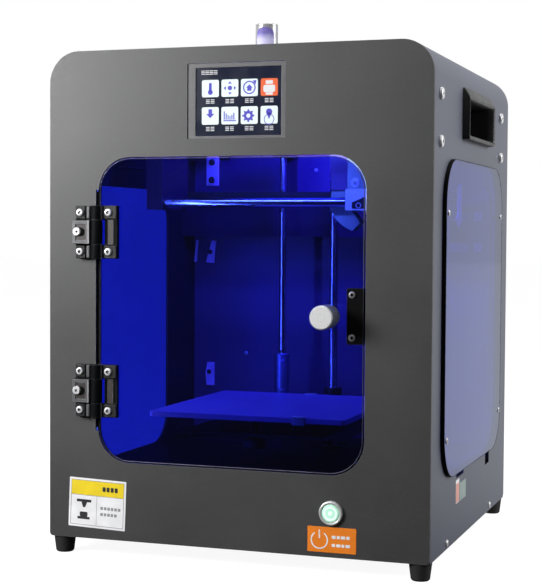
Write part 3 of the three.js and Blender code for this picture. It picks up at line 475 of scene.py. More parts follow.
# Screws: the grain's scale and depth, and how deep in metres a socket has to be to get its painted shade.
SCREW = (2600, 0.08)
SOCKET_DEPTH = 0.002
KNOB_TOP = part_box("lid_knob")[1].z
MATERIALS = {
    "panel": coated_metal("brushed_panel", (0.06, 0.06, 0.0615), 0.48, 0.25, BRUSHED, grain=(0.3, 1, 1)),
    # Painted shade: the casing's inward faces are near black, and the rear wall's inward face is a dark
    # violet.
    "casing": coated_metal("casing_powder_coat", CASE_PAINT, 0.5, 0.2, POWDER, inside_shade=(0.009, 0.009, 0.012)),
    "rear": coated_metal("rear_powder_coat", CASE_PAINT, 0.5, 0.2, POWDER, inside_shade=(0.055, 0.028, 0.1)),
    "inner": coated_metal("inner_sheet", (0.035, 0.035, 0.04), 0.5, 0.1, SHEET),
    "black_metal": coated_metal("black_oxide", (0.01, 0.01, 0.011), 0.42, 0.2, OXIDE),
    # Near black: the real colour of the strike plate and chamber floor, and painted shade on the doorway
    # seal, window edge bands and hinge shadow discs.
    "black_and_shade": coated_metal("black_and_painted_shade", (0.0025, 0.0025, 0.003), 0.55, 0.0, OXIDE_NEW, 0.06),
    "hinge": coated_metal("hinge_zinc_black", (0.003, 0.0035, 0.004), 0.5, 0.0, ZINC, 0.06),
    "hinge_pad": coated_metal("hinge_pad_black", (0.014, 0.014, 0.014), 0.45, 0.1, ZINC_PAD, 0.3),
    "hinge_worn": coated_metal("hinge_zinc_worn", (0.095, 0.095, 0.1), 0.42, 0.2, ZINC_WORN),
    # Painted highlight for the thin pale bar along each hinge frame's right edge.
    "hinge_highlight": coated_metal("hinge_painted_highlight", (0.3, 0.3, 0.31), 0.4, 0.3, ZINC_WORN),
    "hinge_web": coated_metal("hinge_web_bronze", (0.038, 0.032, 0.031), 0.4, 0.2, ZINC_WORN),
    "block": coated_metal("block_black", (0.016, 0.007, 0.024), 0.5, 0.0, ZINC_NEW, 0.15),
    "bracket": coated_metal("bracket_zinc", (0.75, 0.5, 0.85), 0.45, 0.3, BRACKET_ZINC),
    "frame_grey": coated_metal("screen_frame", (0.1, 0.1, 0.105), 0.45, 0.3, BEZEL, grain=(0.1, 1, 1)),
    "bed": coated_metal("bed_sheet", (0.27, 0.17, 0.4), 0.42, 0.0, BED_FILM),
    "board": coated_metal("solder_mask", (0.015, 0.1, 0.05), 0.3, 0.0, SOLDER),
    "plastic": moulded_plastic("black_moulding_and_shade", DARK, 0.42),
    "handle": moulded_plastic("handle_moulding", (0.008, 0.008, 0.009), 0.4, 1800, 0.2, 0.5),
    "fan": moulded_plastic("fan_moulding", (0.16, 0.09, 0.24), 0.4, 2600, 0.1),
    "printed": moulded_plastic("head_cover", (0.38, 0.48, 0.38), 0.4, 2600, 0.1),
    "rubber": moulded_plastic("foot_rubber", (0.012, 0.012, 0.012), 0.75, 1500, 0.35, 0.1),
    "belt": moulded_plastic("belt_rubber", (0.014, 0.014, 0.014), 0.7, 3000, 0.4, 0.1),
    "bright_plate": moulded_plastic("nickel_face", (0.85, 1.0, 0.85), 0.45, 900, 0.08, 0.3),
    "aluminium": bare_metal("milled_aluminium", (0.78, 0.79, 0.81), 0.32, 900, 0.08, stretch=(1, 1, 0.1)),
    "plate": bare_metal("zinc_plate", (0.72, 0.73, 0.76), 0.38, 500, 0.1),
    "steel": bare_metal("ground_steel", (0.74, 0.75, 0.78), 0.16, 1500, 0.04),
    "rod": bare_metal("polished_rod", (0.78, 0.8, 0.84), 0.2, 1500, 0.0, patchy=0.1),
    # Painted shade: a darkened copy of the polished rod.
    "rod_shaded": bare_metal("rod_painted_shade", (0.012, 0.003, 0.014), 0.45, 1500, 0.0, patchy=0.2),
    "bearing": bare_metal("bearing_sleeve", (0.3, 0.36, 0.6), 0.42, 900, 0.02, 1.0, 0.0, 0.3, (1, 1, 0.2)),
    "screw": bare_metal("bright_screw", (0.82, 0.82, 0.84), 0.3, *SCREW, 0.45, SOCKET_DEPTH),
    "screw_dull": bare_metal("oiled_screw", (0.26, 0.26, 0.27), 0.32, *SCREW, 0.5, SOCKET_DEPTH),
    "silver": bare_metal("satin_chrome", (0.6, 0.62, 0.62), 0.35, 1600, 0.04, 0.35),
    "brass": bare_metal("brass", (0.8, 0.55, 0.22), 0.25, 1500, 0.05),
    "acrylic": tinted_acrylic("blue_acrylic", (0.262, 0.325, 0.82)),
    "frosted": frosted_edge_with_highlight("frosted_edge_painted_highlight", (0.004, 0.005, 0.03), (0.75, 0.65, 1.0)),
    # Painted reflection on the lid knob's front.
    "reflection_arch": painted_reflection(
        "knob_painted_reflection", KNOB_TOP - 0.0119, KNOB_TOP - 0.0069, (0.62, 0.6, 0.84), (0.19, 0.16, 0.46)
    ),
    "screen": lit_screen("screen_dark", (0.006, 0.009, 0.024), 0.35, 0.2),
    "tile": lit_screen("screen_tile", (0.62, 0.7, 0.71), 0.42),
    "tile_hot": lit_screen("screen_tile_orange", (0.62, 0.12, 0.05), 0.45),
    "icon": lit_screen("screen_icon", (0.09, 0.08, 0.42), 0.45),
    "icon_white": lit_screen("screen_icon_white", (0.6, 0.6, 0.62), 0.4),
    "orange": printed_film("orange_vinyl", (1.0, 0.26, 0.02), 0.38),
    "white": printed_film("white_vinyl", (0.9, 0.9, 0.92), 0.4),
    "yellow": printed_film("yellow_print", (0.9, 0.68, 0.02), 0.4),
    "ink": printed_film("dark_print", (0.03, 0.03, 0.035), 0.4),
    "grey_ink": printed_film("grey_print", (0.3, 0.3, 0.32), 0.4),
    "teal": printed_film("teal_vinyl", (0.24, 0.33, 0.31), 0.4),
    "pink": printed_film("pink_vinyl", (0.78, 0.33, 0.27), 0.4),
    "cap": printed_film("button_cap", (0.5, 0.86, 0.66), 0.25, 0.35),
    "cap_pale": printed_film("button_ring", (0.75, 0.97, 0.86), 0.25, 0.6),
}

# ---------- The CAD nodes' finish: material, and how their names start ----------

FINISH = {
    "casing": ("outer_shell",),
    "panel": ("front_panel",),
    "rear": ("rear_panel",),
    "inner": ("base_plate",),
    "black_and_shade": ("chamber_floor", "door_strike_plate"),
    "hinge": ("hinge_",),
    "handle": ("handle_",),
    "rubber": ("foot_",),
    "acrylic": ("front_door", "top_lid", "window_"),
    "frame_grey": ("display_module",),
    "silver": ("power_button_housing",),
    "cap": ("power_button_cap",),
    "plastic": ("door_magnet", "power_inlet", "level_"),
    "board": ("mainboard",),
    "aluminium": ("x_pulley", "y_pulley", "hot_end"),
    "printed": ("x_carriage", "fan_duct"),
    "fan": ("part_fan",),
    "block": ("z_crossbeam", "y_block"),
    "bed": ("heated_bed",),
    "plate": ("lid_hinge_",),
    "rod": ("y_rod", "x_rod", "z_rod_left"),
    # The right Z rod takes the darkened copy of the rod: painted shade.
    "rod_shaded": ("z_rod_right",),
    "steel": ("lead_",),
    "belt": ("x_belt", "y_belt"),
}
BEVELS = {
    0.25: ("display_module",),
    0.3: ("door_strike_plate", "front_door", "top_lid", "window_left", "window_right"),
    0.35: ("front_panel", "rear_panel"),
    0.4: ("heated_bed", "bed_carrier"),
    0.45: ("hinge_upper_door_leaf", "hinge_lower_door_leaf"),
    0.5: ("hinge_upper_frame_leaf", "hinge_lower_frame_leaf", "door_magnet", "power_inlet", "x_carriage",
          "fan_duct", "part_fan"),
    0.6: ("y_block_left", "y_block_right"),
}


WELD_WITHIN = 0.00001
BEVEL_ABOVE, SPLIT_BEVELLED, SPLIT_PLAIN = (math.radians(angle) for angle in (42, 50, 32))


def finish_node(node, material, bevel):
    """Gives a CAD node its material, rounds its edges a little and smooths its curved faces."""
    mesh = node.data
    mesh.materials.clear()
    mesh.materials.append(material)
    for name in ("custom_normal", "sharp_edge", "sharp_face"):
        if name in mesh.attributes:
            mesh.attributes.remove(mesh.attributes[name])
    mesh.polygons.foreach_set("use_smooth", [True] * len(mesh.polygons))
    weld = node.modifiers.new("weld", "WELD")
    weld.merge_threshold = WELD_WITHIN
    if bevel:
        soft = node.modifiers.new("soften", "BEVEL")
        soft.width = bevel * MM
        soft.segments = 2
        soft.limit_method = "ANGLE"
        soft.angle_limit = BEVEL_ABOVE
    split = node.modifiers.new("split", "EDGE_SPLIT")
    split.split_angle = SPLIT_BEVELLED if bevel else SPLIT_PLAIN
    if bevel:
        even = node.modifiers.new("even", "WEIGHTED_NORMAL")
        even.keep_sharp = True


# The knobs' end face and side colours; the side's darker colour is painted shade.
KNOB_FACE = (0.95, 0.95, 0.96)
KNOB_SIDE = {"door_knob": (0.2, 0.22, 0.28), "lid_knob": (0.4, 0.4, 0.4)}


def finish_nodes():
    """Metal parts that FINISH doesn't list are black."""
    bevel_of = {name: width for width, names in BEVELS.items() for name in names}
    for name, node in NODES.items():
        key = next((key for key, starts in FINISH.items() if name.startswith(starts)), "black_metal")
        finish_node(node, MATERIALS[key], bevel_of.get(name, 0))
    for name, axis in (("door_knob", "y"), ("lid_knob", "z")):
        low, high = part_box(name)
        metal = turned_metal(f"{name}_metal", KNOB_FACE, KNOB_SIDE[name], 0.3, (low + high) / 2, axis)
        NODES[name].data.materials[0] = metal


finish_nodes()

# ---------- Mesh tools, all in the case's millimetres ----------

AXES = {"x": lambda a, u, v: (a, u, v), "y": lambda a, u, v: (u, a, v), "z": lambda a, u, v: (u, v, a)}


def outline(u0, u1, v0, v1, corner, steps=4):
    """A rectangle's points, with round corners."""
    corner = max(0.001, min(corner, (u1 - u0) / 2 - 0.001, (v1 - v0) / 2 - 0.001))
    centres = [(u1 - corner, v0 + corner, -90), (u1 - corner, v1 - corner, 0)]
    centres += [(u0 + corner, v1 - corner, 90), (u0 + corner, v0 + corner, 180)]
    points = []
    for cu, cv, start in centres:
        for n in range(steps + 1):
            angle = math.radians(start + 90 * n / steps)
            points.append((cu + corner * math.cos(angle), cv + corner * math.sin(angle)))
    return points


SHAPES = {
    "round": lambda angle: 1.0,
    "hex": lambda angle: math.cos(math.pi / 6) / math.cos((angle % (math.pi / 3)) - math.pi / 6),
    "cross": lambda angle: 0.34 + 0.66 * abs(math.cos(2 * angle)) ** 5,
}


class Piece:
    """One visible piece's mesh: skins stretched over closed loops."""

    def __init__(self):
        self.bm = bmesh.new()

    def skin(self, loops, capped=(True, True), closed=False):
        """Joins rings of points, each given as case coordinates, into one surface."""
        rings = [[self.bm.verts.new(at(*p)) for p in loop] for loop in loops]
        pairs = list(zip(rings, rings[1:])) + ([(rings[-1], rings[0])] if closed else [])
        for near, far in pairs:
            count = len(near)
            for n in range(count):
                self.bm.faces.new((near[n], near[(n + 1) % count], far[(n + 1) % count], far[n]))
        if capped[0]:
            self.bm.faces.new(rings[0])
        if capped[1]:
            self.bm.faces.new(rings[-1])

    def stack(self, axis, rows, capped=(True, True), closed=False, steps=4):
        """Rounded rectangles along an axis: rows of (u0, u1, v0, v1, corner, place along the axis)."""
        put = AXES[axis]
        loops = []
        for u0, u1, v0, v1, corner, along in rows:
            loops.append([put(along, u, v) for u, v in outline(u0, u1, v0, v1, corner, steps)])
        self.skin(loops, capped, closed)

    def slab(self, axis, rect, corner, low, high, soft=0.3, steps=4):
        """A plate with a rounded outline and softened rims."""
        u0, u1, v0, v1 = rect
        inset = (u0 + soft, u1 - soft, v0 + soft, v1 - soft, max(corner - soft, 0.05))
        full = (u0, u1, v0, v1, corner)
        rows = [(*inset, low), (*full, low + soft), (*full, high - soft), (*inset, high)]
        self.stack(axis, rows, steps=steps)

    def flat(self, axis, rect, corner, low, high, steps=4):
        self.stack(axis, [(*rect, corner, low), (*rect, corner, high)], steps=steps)

    def turned(self, axis, u, v, rows, sides=24, closed=False, turn=0.0):
        """Rings round an axis: rows of (radius, place along the axis, shape)."""
        put = AXES[axis]
        loops = []
        for radius, along, *shape in rows:
            form = SHAPES[shape[0] if shape else "round"]
            loop = []
            for n in range(sides):
                angle = 2 * math.pi * n / sides
                r = radius * form(angle)
                loop.append(put(along, u + r * math.cos(angle + turn), v + r * math.sin(angle + turn)))
            loops.append(loop)
        self.skin(loops, (not closed, not closed), closed)

    def polygon(self, axis, points, low, high):
        put = AXES[axis]
        self.skin([[put(a, u, v) for u, v in points] for a in (low, high)])

    def screw(self, axis, place, start, out, radius, height, drive="hex"):
        """A pan-head screw on a face at start; out is 1 or -1 along the axis; place is across it."""
        socket = radius * 0.52

        def side(h):
            return start + out * h
        rows = [
            (radius * 0.99, side(0)),
            (radius, side(height * 0.3)),
            (radius * 0.98, side(height * 0.6)),
            (radius * 0.9, side(height * 0.88)),
            (radius * 0.78, side(height)),
            (socket, side(height), drive),
            (socket * 0.96, side(height * 0.12), drive),
            (socket * 0.2, side(height * 0.08)),
        ]
        self.turned(axis, *place, rows, 24, turn=random.uniform(0, math.pi))

    def tube(self, points, radius, sides):
        """A round wire along a path."""
        path = [Vector(p) for p in points]
        loops = []
        for n, p in enumerate(path):
            along = (path[min(n + 1, len(path) - 1)] - path[max(n - 1, 0)]).normalized()
            side = along.cross(Vector((0, 0, 1)))
            if side.length < 0.05:
                side = along.cross(Vector((1, 0, 0)))
            side.normalize()
            up = side.cross(along)
            loop = []
            for k in range(sides):
                angle = 2 * math.pi * k / sides
                loop.append(tuple(p + radius * (side * math.cos(angle) + up * math.sin(angle))))
            loops.append(loop)
        self.skin(loops)

    def make(self, name, material, body="case", slot="bright_steel", smooth=35, replaces=()):
        """Turns the mesh into a visible piece that rides on a body."""
        bmesh.ops.recalc_face_normals(self.bm, faces=self.bm.faces)
        mesh = bpy.data.meshes.new(name)
        self.bm.to_mesh(mesh)
        self.bm.free()
        mesh.materials.append(MATERIALS[material])
        mesh.polygons.foreach_set("use_smooth", [True] * len(mesh.polygons))
        mesh.set_sharp_from_angle(angle=math.radians(smooth))
        made = bpy.data.objects.new(name, mesh)
        bpy.context.scene.collection.objects.link(made)
        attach(made, body)
        if replaces:
            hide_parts(*replaces)


random.seed(11)

DOOR_GAP = 1.0
DOOR_CORNER, WINDOW_CORNER = 25, 34
CASE_SIDE, CASE_TOP = 150, 374
HEAD_LEFT = reach("x_rod_front")[0][0] + 170.3

# ---------- Hinges ----------

HINGE_Z = {name: sum(z for _, _, z in reach(f"hinge_{name}_frame_leaf")) / 2 for name in ("upper", "lower")}
LEAF_FACE = -4.5
PAD_START, PAD_END, PAD_SCREW = 10.2, 19.6, 14.8
FRAME_PAD, FRAME_RIDGE, DOOR_PAD = (-125.6, -117.6), (-115.6, -112.7), (-102.9, -91.9)
FRAME_PAD_TOP, DOOR_PAD_TOP, WELL_TOP = LEAF_FACE - 1.2, LEAF_FACE - 1.0, -9.2
FRAME_SCREW_X, DOOR_SCREW_X, WELL_SCREW_X = -121.6, -98.2, -122.6


def add_hinge_plates(name, z):
    """The pads, ridges and webs that stand on the two leaves of the hinge whose middle is at z."""

    def around(half):
        return z - half, z + half

    seat = LEAF_FACE + 0.2
    pads, ridges, door_pads = Piece(), Piece(), Piece()
    for sign in (1, -1):
        ends = sorted((z + sign * PAD_START, z + sign * PAD_END))
        pads.slab("y", (*FRAME_PAD, *ends), 0.8, FRAME_PAD_TOP, seat, 0.4)
        ridges.slab("y", (*FRAME_RIDGE, *ends), 0.6, LEAF_FACE - 3.2, seat, 0.7)
        door_pads.slab("y", (*DOOR_PAD, *ends), 0.8, DOOR_PAD_TOP, seat, 0.4)
    well = (-124.0, -114.9, *around(6.3), 0.5)
    rim = [(-126.4, -112.5, *around(8.8), 0.6, -7.9), (-126.2, -112.7, *around(8.6), 0.5, WELL_TOP)]
    ridges.stack("y", [*rim, (*well, WELL_TOP), (*well, -8.15)], capped=(False, True))
    backing, web, well_floor, painted_shade, edge = (Piece() for _ in range(5))
    backing.slab("y", (-102.1, -91.9, *around(9.9)), 0.4, -3.6, -2.9, 0.2)
    web.slab("y", (-99.4, -94.6, *around(9.3)), 0.4, -4.0, -3.5, 0.2)
    well_floor.slab("y", (-123.7, -115.2, *around(6.0)), 0.4, -8.5, -8.1, 0.15)
    # Painted shadow: a near-black disc behind the middle screw, set a little to its right.
    painted_shade.turned("y", -120.1, z + 0.3, [(3.3, -8.4), (3.3, -9.3), (2.9, -9.5)], 20)
    # Painted highlight: a thin pale bar along the frame's right edge.
    edge.slab("y", (-113.6, -112.45, *around(8.7)), 0.3, -9.5, -8.6, 0.25)
    for piece, part, material, body in (
        (backing, "door_backing", "hinge", "door"),
        (well_floor, "frame_well", "hinge_web", "case"),
        (painted_shade, "frame_painted_shadow", "black_and_shade", "case"),
        (edge, "frame_highlight_bar", "hinge_highlight", "case"),
        (pads, "frame_pads", "hinge_pad", "case"),
        (ridges, "frame_ridges", "hinge_worn", "case"),
        (web, "door_web", "hinge_web", "door"),
        (door_pads, "door_pads", "hinge_pad", "door"),
    ):
        piece.make(f"hinge_{name}_{part}", material, body, "black_plastic")


def add_hinge_screws(name, z):
    bolts, door_bolts = Piece(), Piece()
    for sign in (1, -1):
        bolts.screw("y", (FRAME_SCREW_X, z + sign * PAD_SCREW), FRAME_PAD_TOP, -1, 2.9, 1.5)
        door_bolts.screw("y", (DOOR_SCREW_X, z + sign * PAD_SCREW), DOOR_PAD_TOP, -1, 2.9, 1.5)
    bolts.screw("y", (WELL_SCREW_X, z + 0.3), -8.1, -1, 3.4, 2.4, "cross")
    bolts.make(f"hinge_{name}_frame_screws", "screw")
    door_bolts.make(f"hinge_{name}_door_screws", "screw", "door", "bright_steel")


def add_hinges():
    for name, z in HINGE_Z.items():
        add_hinge_plates(name, z)
        add_hinge_screws(name, z)


# ---------- Screen ----------

SCREEN_BACK, SCREEN_FRONT, TILE_FACE, ICON_FACE = 1.58, 1.5, 1.42, 1.34
TILE_BACK, ICON_BACK = SCREEN_FRONT + 0.02, TILE_FACE + 0.02
TILE_COLUMNS = ((-25.6, -12.2), (-10.1, 3.1), (5.1, 18.3), (20.5, 33.7))
TILE_ROWS = ((334.6, 347.3), (314.4, 327.3))
HOT_TILE = (0, 3)


def caption_dashes(piece, left, low):
    """One block of plain dashes that stands for a character of a caption."""
    width, stroke, gap = 2.9, 0.55, 1.2
    for n in range(3):
        base = low + n * gap
        piece.flat("y", (left, left + width, base, base + stroke), 0.1, TILE_FACE, TILE_BACK)


def add_tiles():
    tiles, hot, marks = Piece(), Piece(), Piece()
    for row, (z0, z1) in enumerate(TILE_ROWS):
        for column, (x0, x1) in enumerate(TILE_COLUMNS):
            target = hot if (row, column) == HOT_TILE else tiles
            target.flat("y", (x0, x1, z0, z1), 1.3, TILE_FACE, TILE_BACK)
            for n in range(2):
                caption_dashes(marks, (x0 + x1) / 2 - 3.4 + n * 3.7, z0 - 4.6)
    for n in range(4):
        caption_dashes(marks, -26.2 + n * 3.3, 351.3)
    tiles.make("screen_tiles", "tile", "case", "screen")
    hot.make("screen_tile_hot", "tile_hot", "case", "screen")
    marks.make("screen_captions", "icon_white", "case", "screen")


class Icons(Piece):
    """Flat shapes that stand on the screen's tiles."""

    def bar(self, x0, x1, z0, z1, corner=0.1):
        self.flat("y", (x0, x1, z0, z1), corner, ICON_FACE, ICON_BACK)

    def shape(self, *points):
        self.polygon("y", points, ICON_FACE, ICON_BACK)

    def disc(self, x, z, radius):
        self.turned("y", x, z, [(radius, ICON_FACE), (radius, ICON_BACK)], 20)

    def ring(self, x, z, radius, width):
        inner = radius - width
        rows = [(radius, ICON_FACE), (inner, ICON_FACE), (inner, ICON_BACK), (radius, ICON_BACK)]
        self.turned("y", x, z, rows, 24, closed=True)

    def spokes(self, x, z, count, points):
        """Copies of a shape, given as points (out, across), set evenly round a centre."""
        for n in range(count):
            c, s = math.cos(2 * math.pi * n / count), math.sin(2 * math.pi * n / count)
            self.shape(*((x + u * c - v * s, z + u * s + v * c) for u, v in points))


def add_icons():
    icons, pale = Icons(), Icons()
    # thermometer
    icons.bar(-20.0, -17.8, 338.4, 345.2, 1.0)
    icons.disc(-18.9, 338.2, 1.9)
    # four-way move
    icons.disc(-3.5, 341.0, 1.7)
    icons.spokes(-3.5, 341.0, 4, [(4.9, 0), (3.2, 1.5), (3.2, -1.5)])
    # home inside a turning arrow
    icons.ring(11.7, 341.0, 4.9, 0.9)
    roof, walls = [(9.2, 340.8), (11.7, 343.3), (14.2, 340.8)], [(13.3, 340.8), (13.3, 338.6), (10.1, 338.6)]
    icons.shape(*roof, *walls, (10.1, 340.8))
    icons.shape((14.2, 346.0), (17.2, 346.2), (16.4, 343.1))
    # printer on the orange tile
    pale.bar(22.6, 31.6, 337.2, 342.6, 1.4)
    pale.bar(24.3, 29.9, 343.2, 345.9, 0.5)
    pale.bar(24.3, 29.9, 335.3, 337.0, 0.4)
    # arrow down
    shaft = [(-20.3, 325.8), (-17.5, 325.8), (-17.5, 322.4)]
    icons.shape(*shaft, (-15.6, 322.4), (-18.9, 319.2), (-22.2, 322.4), (-20.3, 322.4))
    # level bars
    for n, height in enumerate((6.2, 4.6, 3.4, 2.6, 3.6, 5.0)):
        left = -8.2 + n * 1.5
        icons.bar(left, left + 0.8, 317.8, 317.8 + height)
    icons.bar(-8.4, 1.4, 316.7, 317.5)
    # gear
    icons.ring(11.0, 320.5, 3.6, 2.0)
    icons.spokes(11.0, 320.5, 8, [(3.2, -0.7), (4.7, -0.6), (4.7, 0.6), (3.2, 0.7)])
    # pointer on a plate
    icons.disc(27.1, 323.0, 2.4)
    icons.shape((25.0, 322.4), (29.2, 322.4), (27.0, 317.6))
    icons.ring(27.1, 317.6, 4.0, 0.5)
    icons.make("screen_icons", "icon", "case", "screen")
    pale.make("screen_icon_pale", "icon_white", "case", "screen")


def add_screen():
    glass = Piece()
    glass.flat("y", (-30.2, 36.4, 306.1, 356.1), 0.1, SCREEN_FRONT, SCREEN_BACK)
    glass.make("screen_glass", "screen", "case", "screen")
    add_tiles()
    add_icons()


# ---------- Button and labels ----------


def add_button():
    low, high = reach("power_button_cap")
    x, z = (low[0] + high[0]) / 2, (low[2] + high[2]) / 2
    face = low[1]
    proud = face - 0.12
    rings = Piece()
    rings.turned("y", x, z, [(5.0, face), (5.0, proud), (3.9, proud), (3.9, face)], 32, closed=True)
    rings.turned("y", x, z, [(1.6, face + 0.05), (1.6, proud), (1.2, face - 0.14)], 24)
    rings.make("power_button_rings", "cap_pale", "power_button", "button_cap")
    trim = Piece()
    rim = [(8.8, -0.9), (9.0, -1.3), (8.7, -2.1), (7.9, -2.45), (7.1, -2.2), (6.75, -1.6), (6.75, -0.9)]
    trim.turned("y", x, z, rim, 40, closed=True)
    trim.make("power_button_bezel", "silver")


def add_power_label():
    """An orange sticker with a broken ring and a stroke in it, and two rows of blocks for writing."""
    face, back = -0.22, -0.02
    top, under = face - 0.07, face + 0.02
    base, print_ = Piece(), Piece()
    base.slab("y", (59.2, 96.0, 3.6, 22.2), 0.7, face, back, 0.06)
    x, z, steps = 68.2, 12.4, 26
    angles = [math.radians(125 + 290 * n / steps) for n in range(steps + 1)]
    outer, inner = ([(x + r * math.cos(a), z + r * math.sin(a)) for a in angles] for r in (6.6, 5.65))
    for n in range(steps):
        print_.polygon("y", [outer[n], outer[n + 1], inner[n + 1], inner[n]], top, under)
    print_.flat("y", (x - 0.5, x + 0.5, z + 1.2, z + 7.6), 0.3, top, under)
    for widths, low in (((3.0, 2.4, 3.2, 2.6), 13.9), ((2.6, 3.2, 2.2, 3.4), 7.9)):
        left = 77.6
        for width in widths:
            print_.flat("y", (left, left + width, low, low + 2.3), 0.4, top, under)
            left += width + 0.8
    base.make("power_label", "orange", "case", "painted_panel")
    print_.make("power_label_print", "white", "case", "painted_panel")


NOTICE_TURN, NOTICE_CORNER, NOTICE_SCALE = math.radians(-1.9), (-134.0, 9.0), 0.935


def add_info_label():
    """A plain notice: a yellow header, a simple drawing of a box and a nozzle, and grey bars for writing."""

    def spin(u, v):
        across = NOTICE_SCALE * (u * math.cos(NOTICE_TURN) - v * math.sin(NOTICE_TURN))
        up = NOTICE_SCALE * (u * math.sin(NOTICE_TURN) + v * math.cos(NOTICE_TURN))
        return NOTICE_CORNER[0] + across, NOTICE_CORNER[1] + up

    def panel(piece, rect, low, high, cut=0.05):
        piece.polygon("y", [spin(u, v) for u, v in outline(*rect, cut, 3)], low, high)

    base, head, lines, grey = Piece(), Piece(), Piece(), Piece()
    panel(base, (0, 50.8, 0, 40.4), -0.2, -0.02, 0.6)
    face, lift = -0.27, -0.18
    panel(head, (2.0, 48.8, 26.6, 38.4), face, lift)
    border = [(1.6, 49.2, 1.6, 2.0), (1.6, 49.2, 38.4, 38.8), (1.6, 2.0, 1.6, 38.8), (48.8, 49.2, 1.6, 38.8)]
    for rect in (*border, (2, 48.8, 26.2, 26.5), (24.8, 25.1, 2, 26.2)):
        panel(grey, rect, face, lift)
    panel(lines, (8, 19, 6.5, 8.5), face, lift)
    panel(lines, (10, 17, 8.5, 12.5), face, lift, 1.0)
    nozzle = ((11.2, 20.6), (16.2, 20.6), (14.6, 16.2), (12.8, 16.2))
    lines.polygon("y", [spin(u, v) for u, v in nozzle], face, lift)
    panel(lines, (7, 20, 20.6, 22.8), face, lift)
    for n in range(4):
        panel(lines, (30 + n * 3.6, 32.6 + n * 3.6, 30.6, 34.4), -0.33, face + 0.01, 0.4)
    for row in range(2):
        for n in range(6 - row):
            panel(grey, (28.5 + n * 3.1, 30.8 + n * 3.1, 15.6 - row * 5, 18.0 - row * 5), face, lift, 0.3)
    base.make("notice_label", "white", "case", "painted_panel")
    head.make("notice_label_header", "yellow", "case", "painted_panel")
    lines.make("notice_label_drawing", "ink", "case", "painted_panel")
    grey.make("notice_label_lines", "grey_ink", "case", "painted_panel")


# ---------- Sides ----------


def handle_shell(side):
    """The moulded handle: a thick flange that slopes back along its top, and a deep pocket."""
    (x0, y0, z0), (x1, y1, z1) = reach("handle_right")
    face, seat, floor = x1, CASE_SIDE + 0.25, x0 + 2.2
    # How far in from the flange's four edges, the corner's radius, and how far out from the case's middle.
    back = [
        (4.8, 4.8, 2.8, 6.8, 2.0, x0 + 0.05),
        (4.2, 4.2, 2.2, 6.2, 2.0, x0 + 0.4),
        (4.2, 4.2, 2.2, 6.2, 2.0, seat),
    ]
    flange = [
        (0, 0, 0, 0, 2.5, seat),
        (0.1, 0.4, 0.1, 0.1, 2.5, seat + 1.0),
        (0.3, 1.6, 0.4, 6.4, 2.0, face - 0.5),
        (0.8, 2.6, 1.0, 7.4, 1.8, face - 0.02),
        (1.8, 3.6, 2.6, 8.4, 1.6, face - 0.2),
        (2.4, 4.6, 3.4, 9.2, 1.6, face - 1.2),
    ]
    pocket = [
        (6.1, 6.1, 4.1, 10, 3.0, seat - 1),
        (6.2, 6.2, 4.2, 10.2, 3.0, floor + 4),
        (7.6, 7.6, 5.6, 11, 3.0, floor + 0.6),
        (10, 10, 8, 13, 2.0, floor),
    ]
    rows = []
    for front, rear, below, above, corner, out in back + flange + pocket:
        rows.append((y0 + front, y1 - rear, z0 + below, z1 - above, corner, side * out))
    shell = Piece()
    shell.stack("x", rows, steps=5)
    return shell


def add_window_edge(side, name):
    """The black edge band round a side window's rim: its black is partly the sheet's own dark edge and partly
    painted shade.
    """
    (_, y0, z0), (_, y1, z1) = reach(f"window_{name}")
    near, far = CASE_SIDE + 0.1, CASE_SIDE + 3.3
    rows = []
    for by, x in ((0.02, near), (0.35, near), (0.35, far - 0.2), (0.2, far), (-0.1, far), (0.02, far - 0.2)):
        rows.append((y0 - by, y1 + by, z0 - by, z1 + by, WINDOW_CORNER + by, side * x))
    band = Piece()
    band.stack("x", rows, (False, False), True, 12)
    band.make(f"window_{name}_edge", "black_and_shade", "case", "rubber")


def add_side_tag():
    """Three plain blocks of colour under the right window."""
    for name, material, rect, low, high, soft in (
        ("side_tag_teal", "teal", (100, 124, 29, 43), 0.02, 0.22, 0.05),
        ("side_tag_pale", "white", (86, 99, 29, 47), 0.02, 0.22, 0.05),
        ("side_tag_orange", "pink", (86.6, 98.4, 29.6, 44), 0.2, 0.3, 0.04),
    ):
        tag = Piece()
        tag.slab("x", rect, 0.5, CASE_SIDE + low, CASE_SIDE + high, soft)
        tag.make(name, material, "case", "painted_case")


def add_sides():
    bolts, small, foot_screws = Piece(), Piece(), Piece()
    for side, name in ((1, "right"), (-1, "left")):
        add_window_edge(side, name)
        (x0, y0, _), (x1, y1, _) = reach(f"window_{name}")
        sheet = x1 if side > 0 else x0
        for y in (20, 256):
            for z in (335, 301):
                bolts.screw("x", (y, z), side * CASE_SIDE, side, 4.5, 2.3, "cross")
        for z in (250, 84):
            for y in (y0 + 7, y1 - 7):
                small.screw("x", (y, z), sheet, side, 2.3, 0.75, "hex")
        for y in (55, 224):
            foot_screws.screw("x", (y, 5.0), side * CASE_SIDE, side, 2.8, 1.3, "cross")
        handle = f"handle_{name}"
        handle_shell(side).make(f"{handle}_moulding", "handle", "case", "black_plastic", 40, (handle,))
    bolts.make("case_side_screws", "screw")
    small.make("window_screws", "screw")
    foot_screws.make("case_foot_screws", "screw")
    add_side_tag()


# ---------- Inside the chamber ----------


def add_strike():
    bolts = Piece()
    for z in (190.7, 159.8):
        bolts.screw("y", (91.6, z), -0.02, -1, 2.6, 1.5)
    bolts.make("strike_plate_screws", "screw_dull", "door", "bright_steel")
    cover = Piece()
    (x0, _, z0), (x1, _, z1) = reach("door_strike_plate")
    cover.slab("y", (x0, x1 - 0.6, z0, z1), 1.2, -0.35, -0.02, 0.1)
    cover.make("strike_plate_front", "black_and_shade", "door", "black_metal")


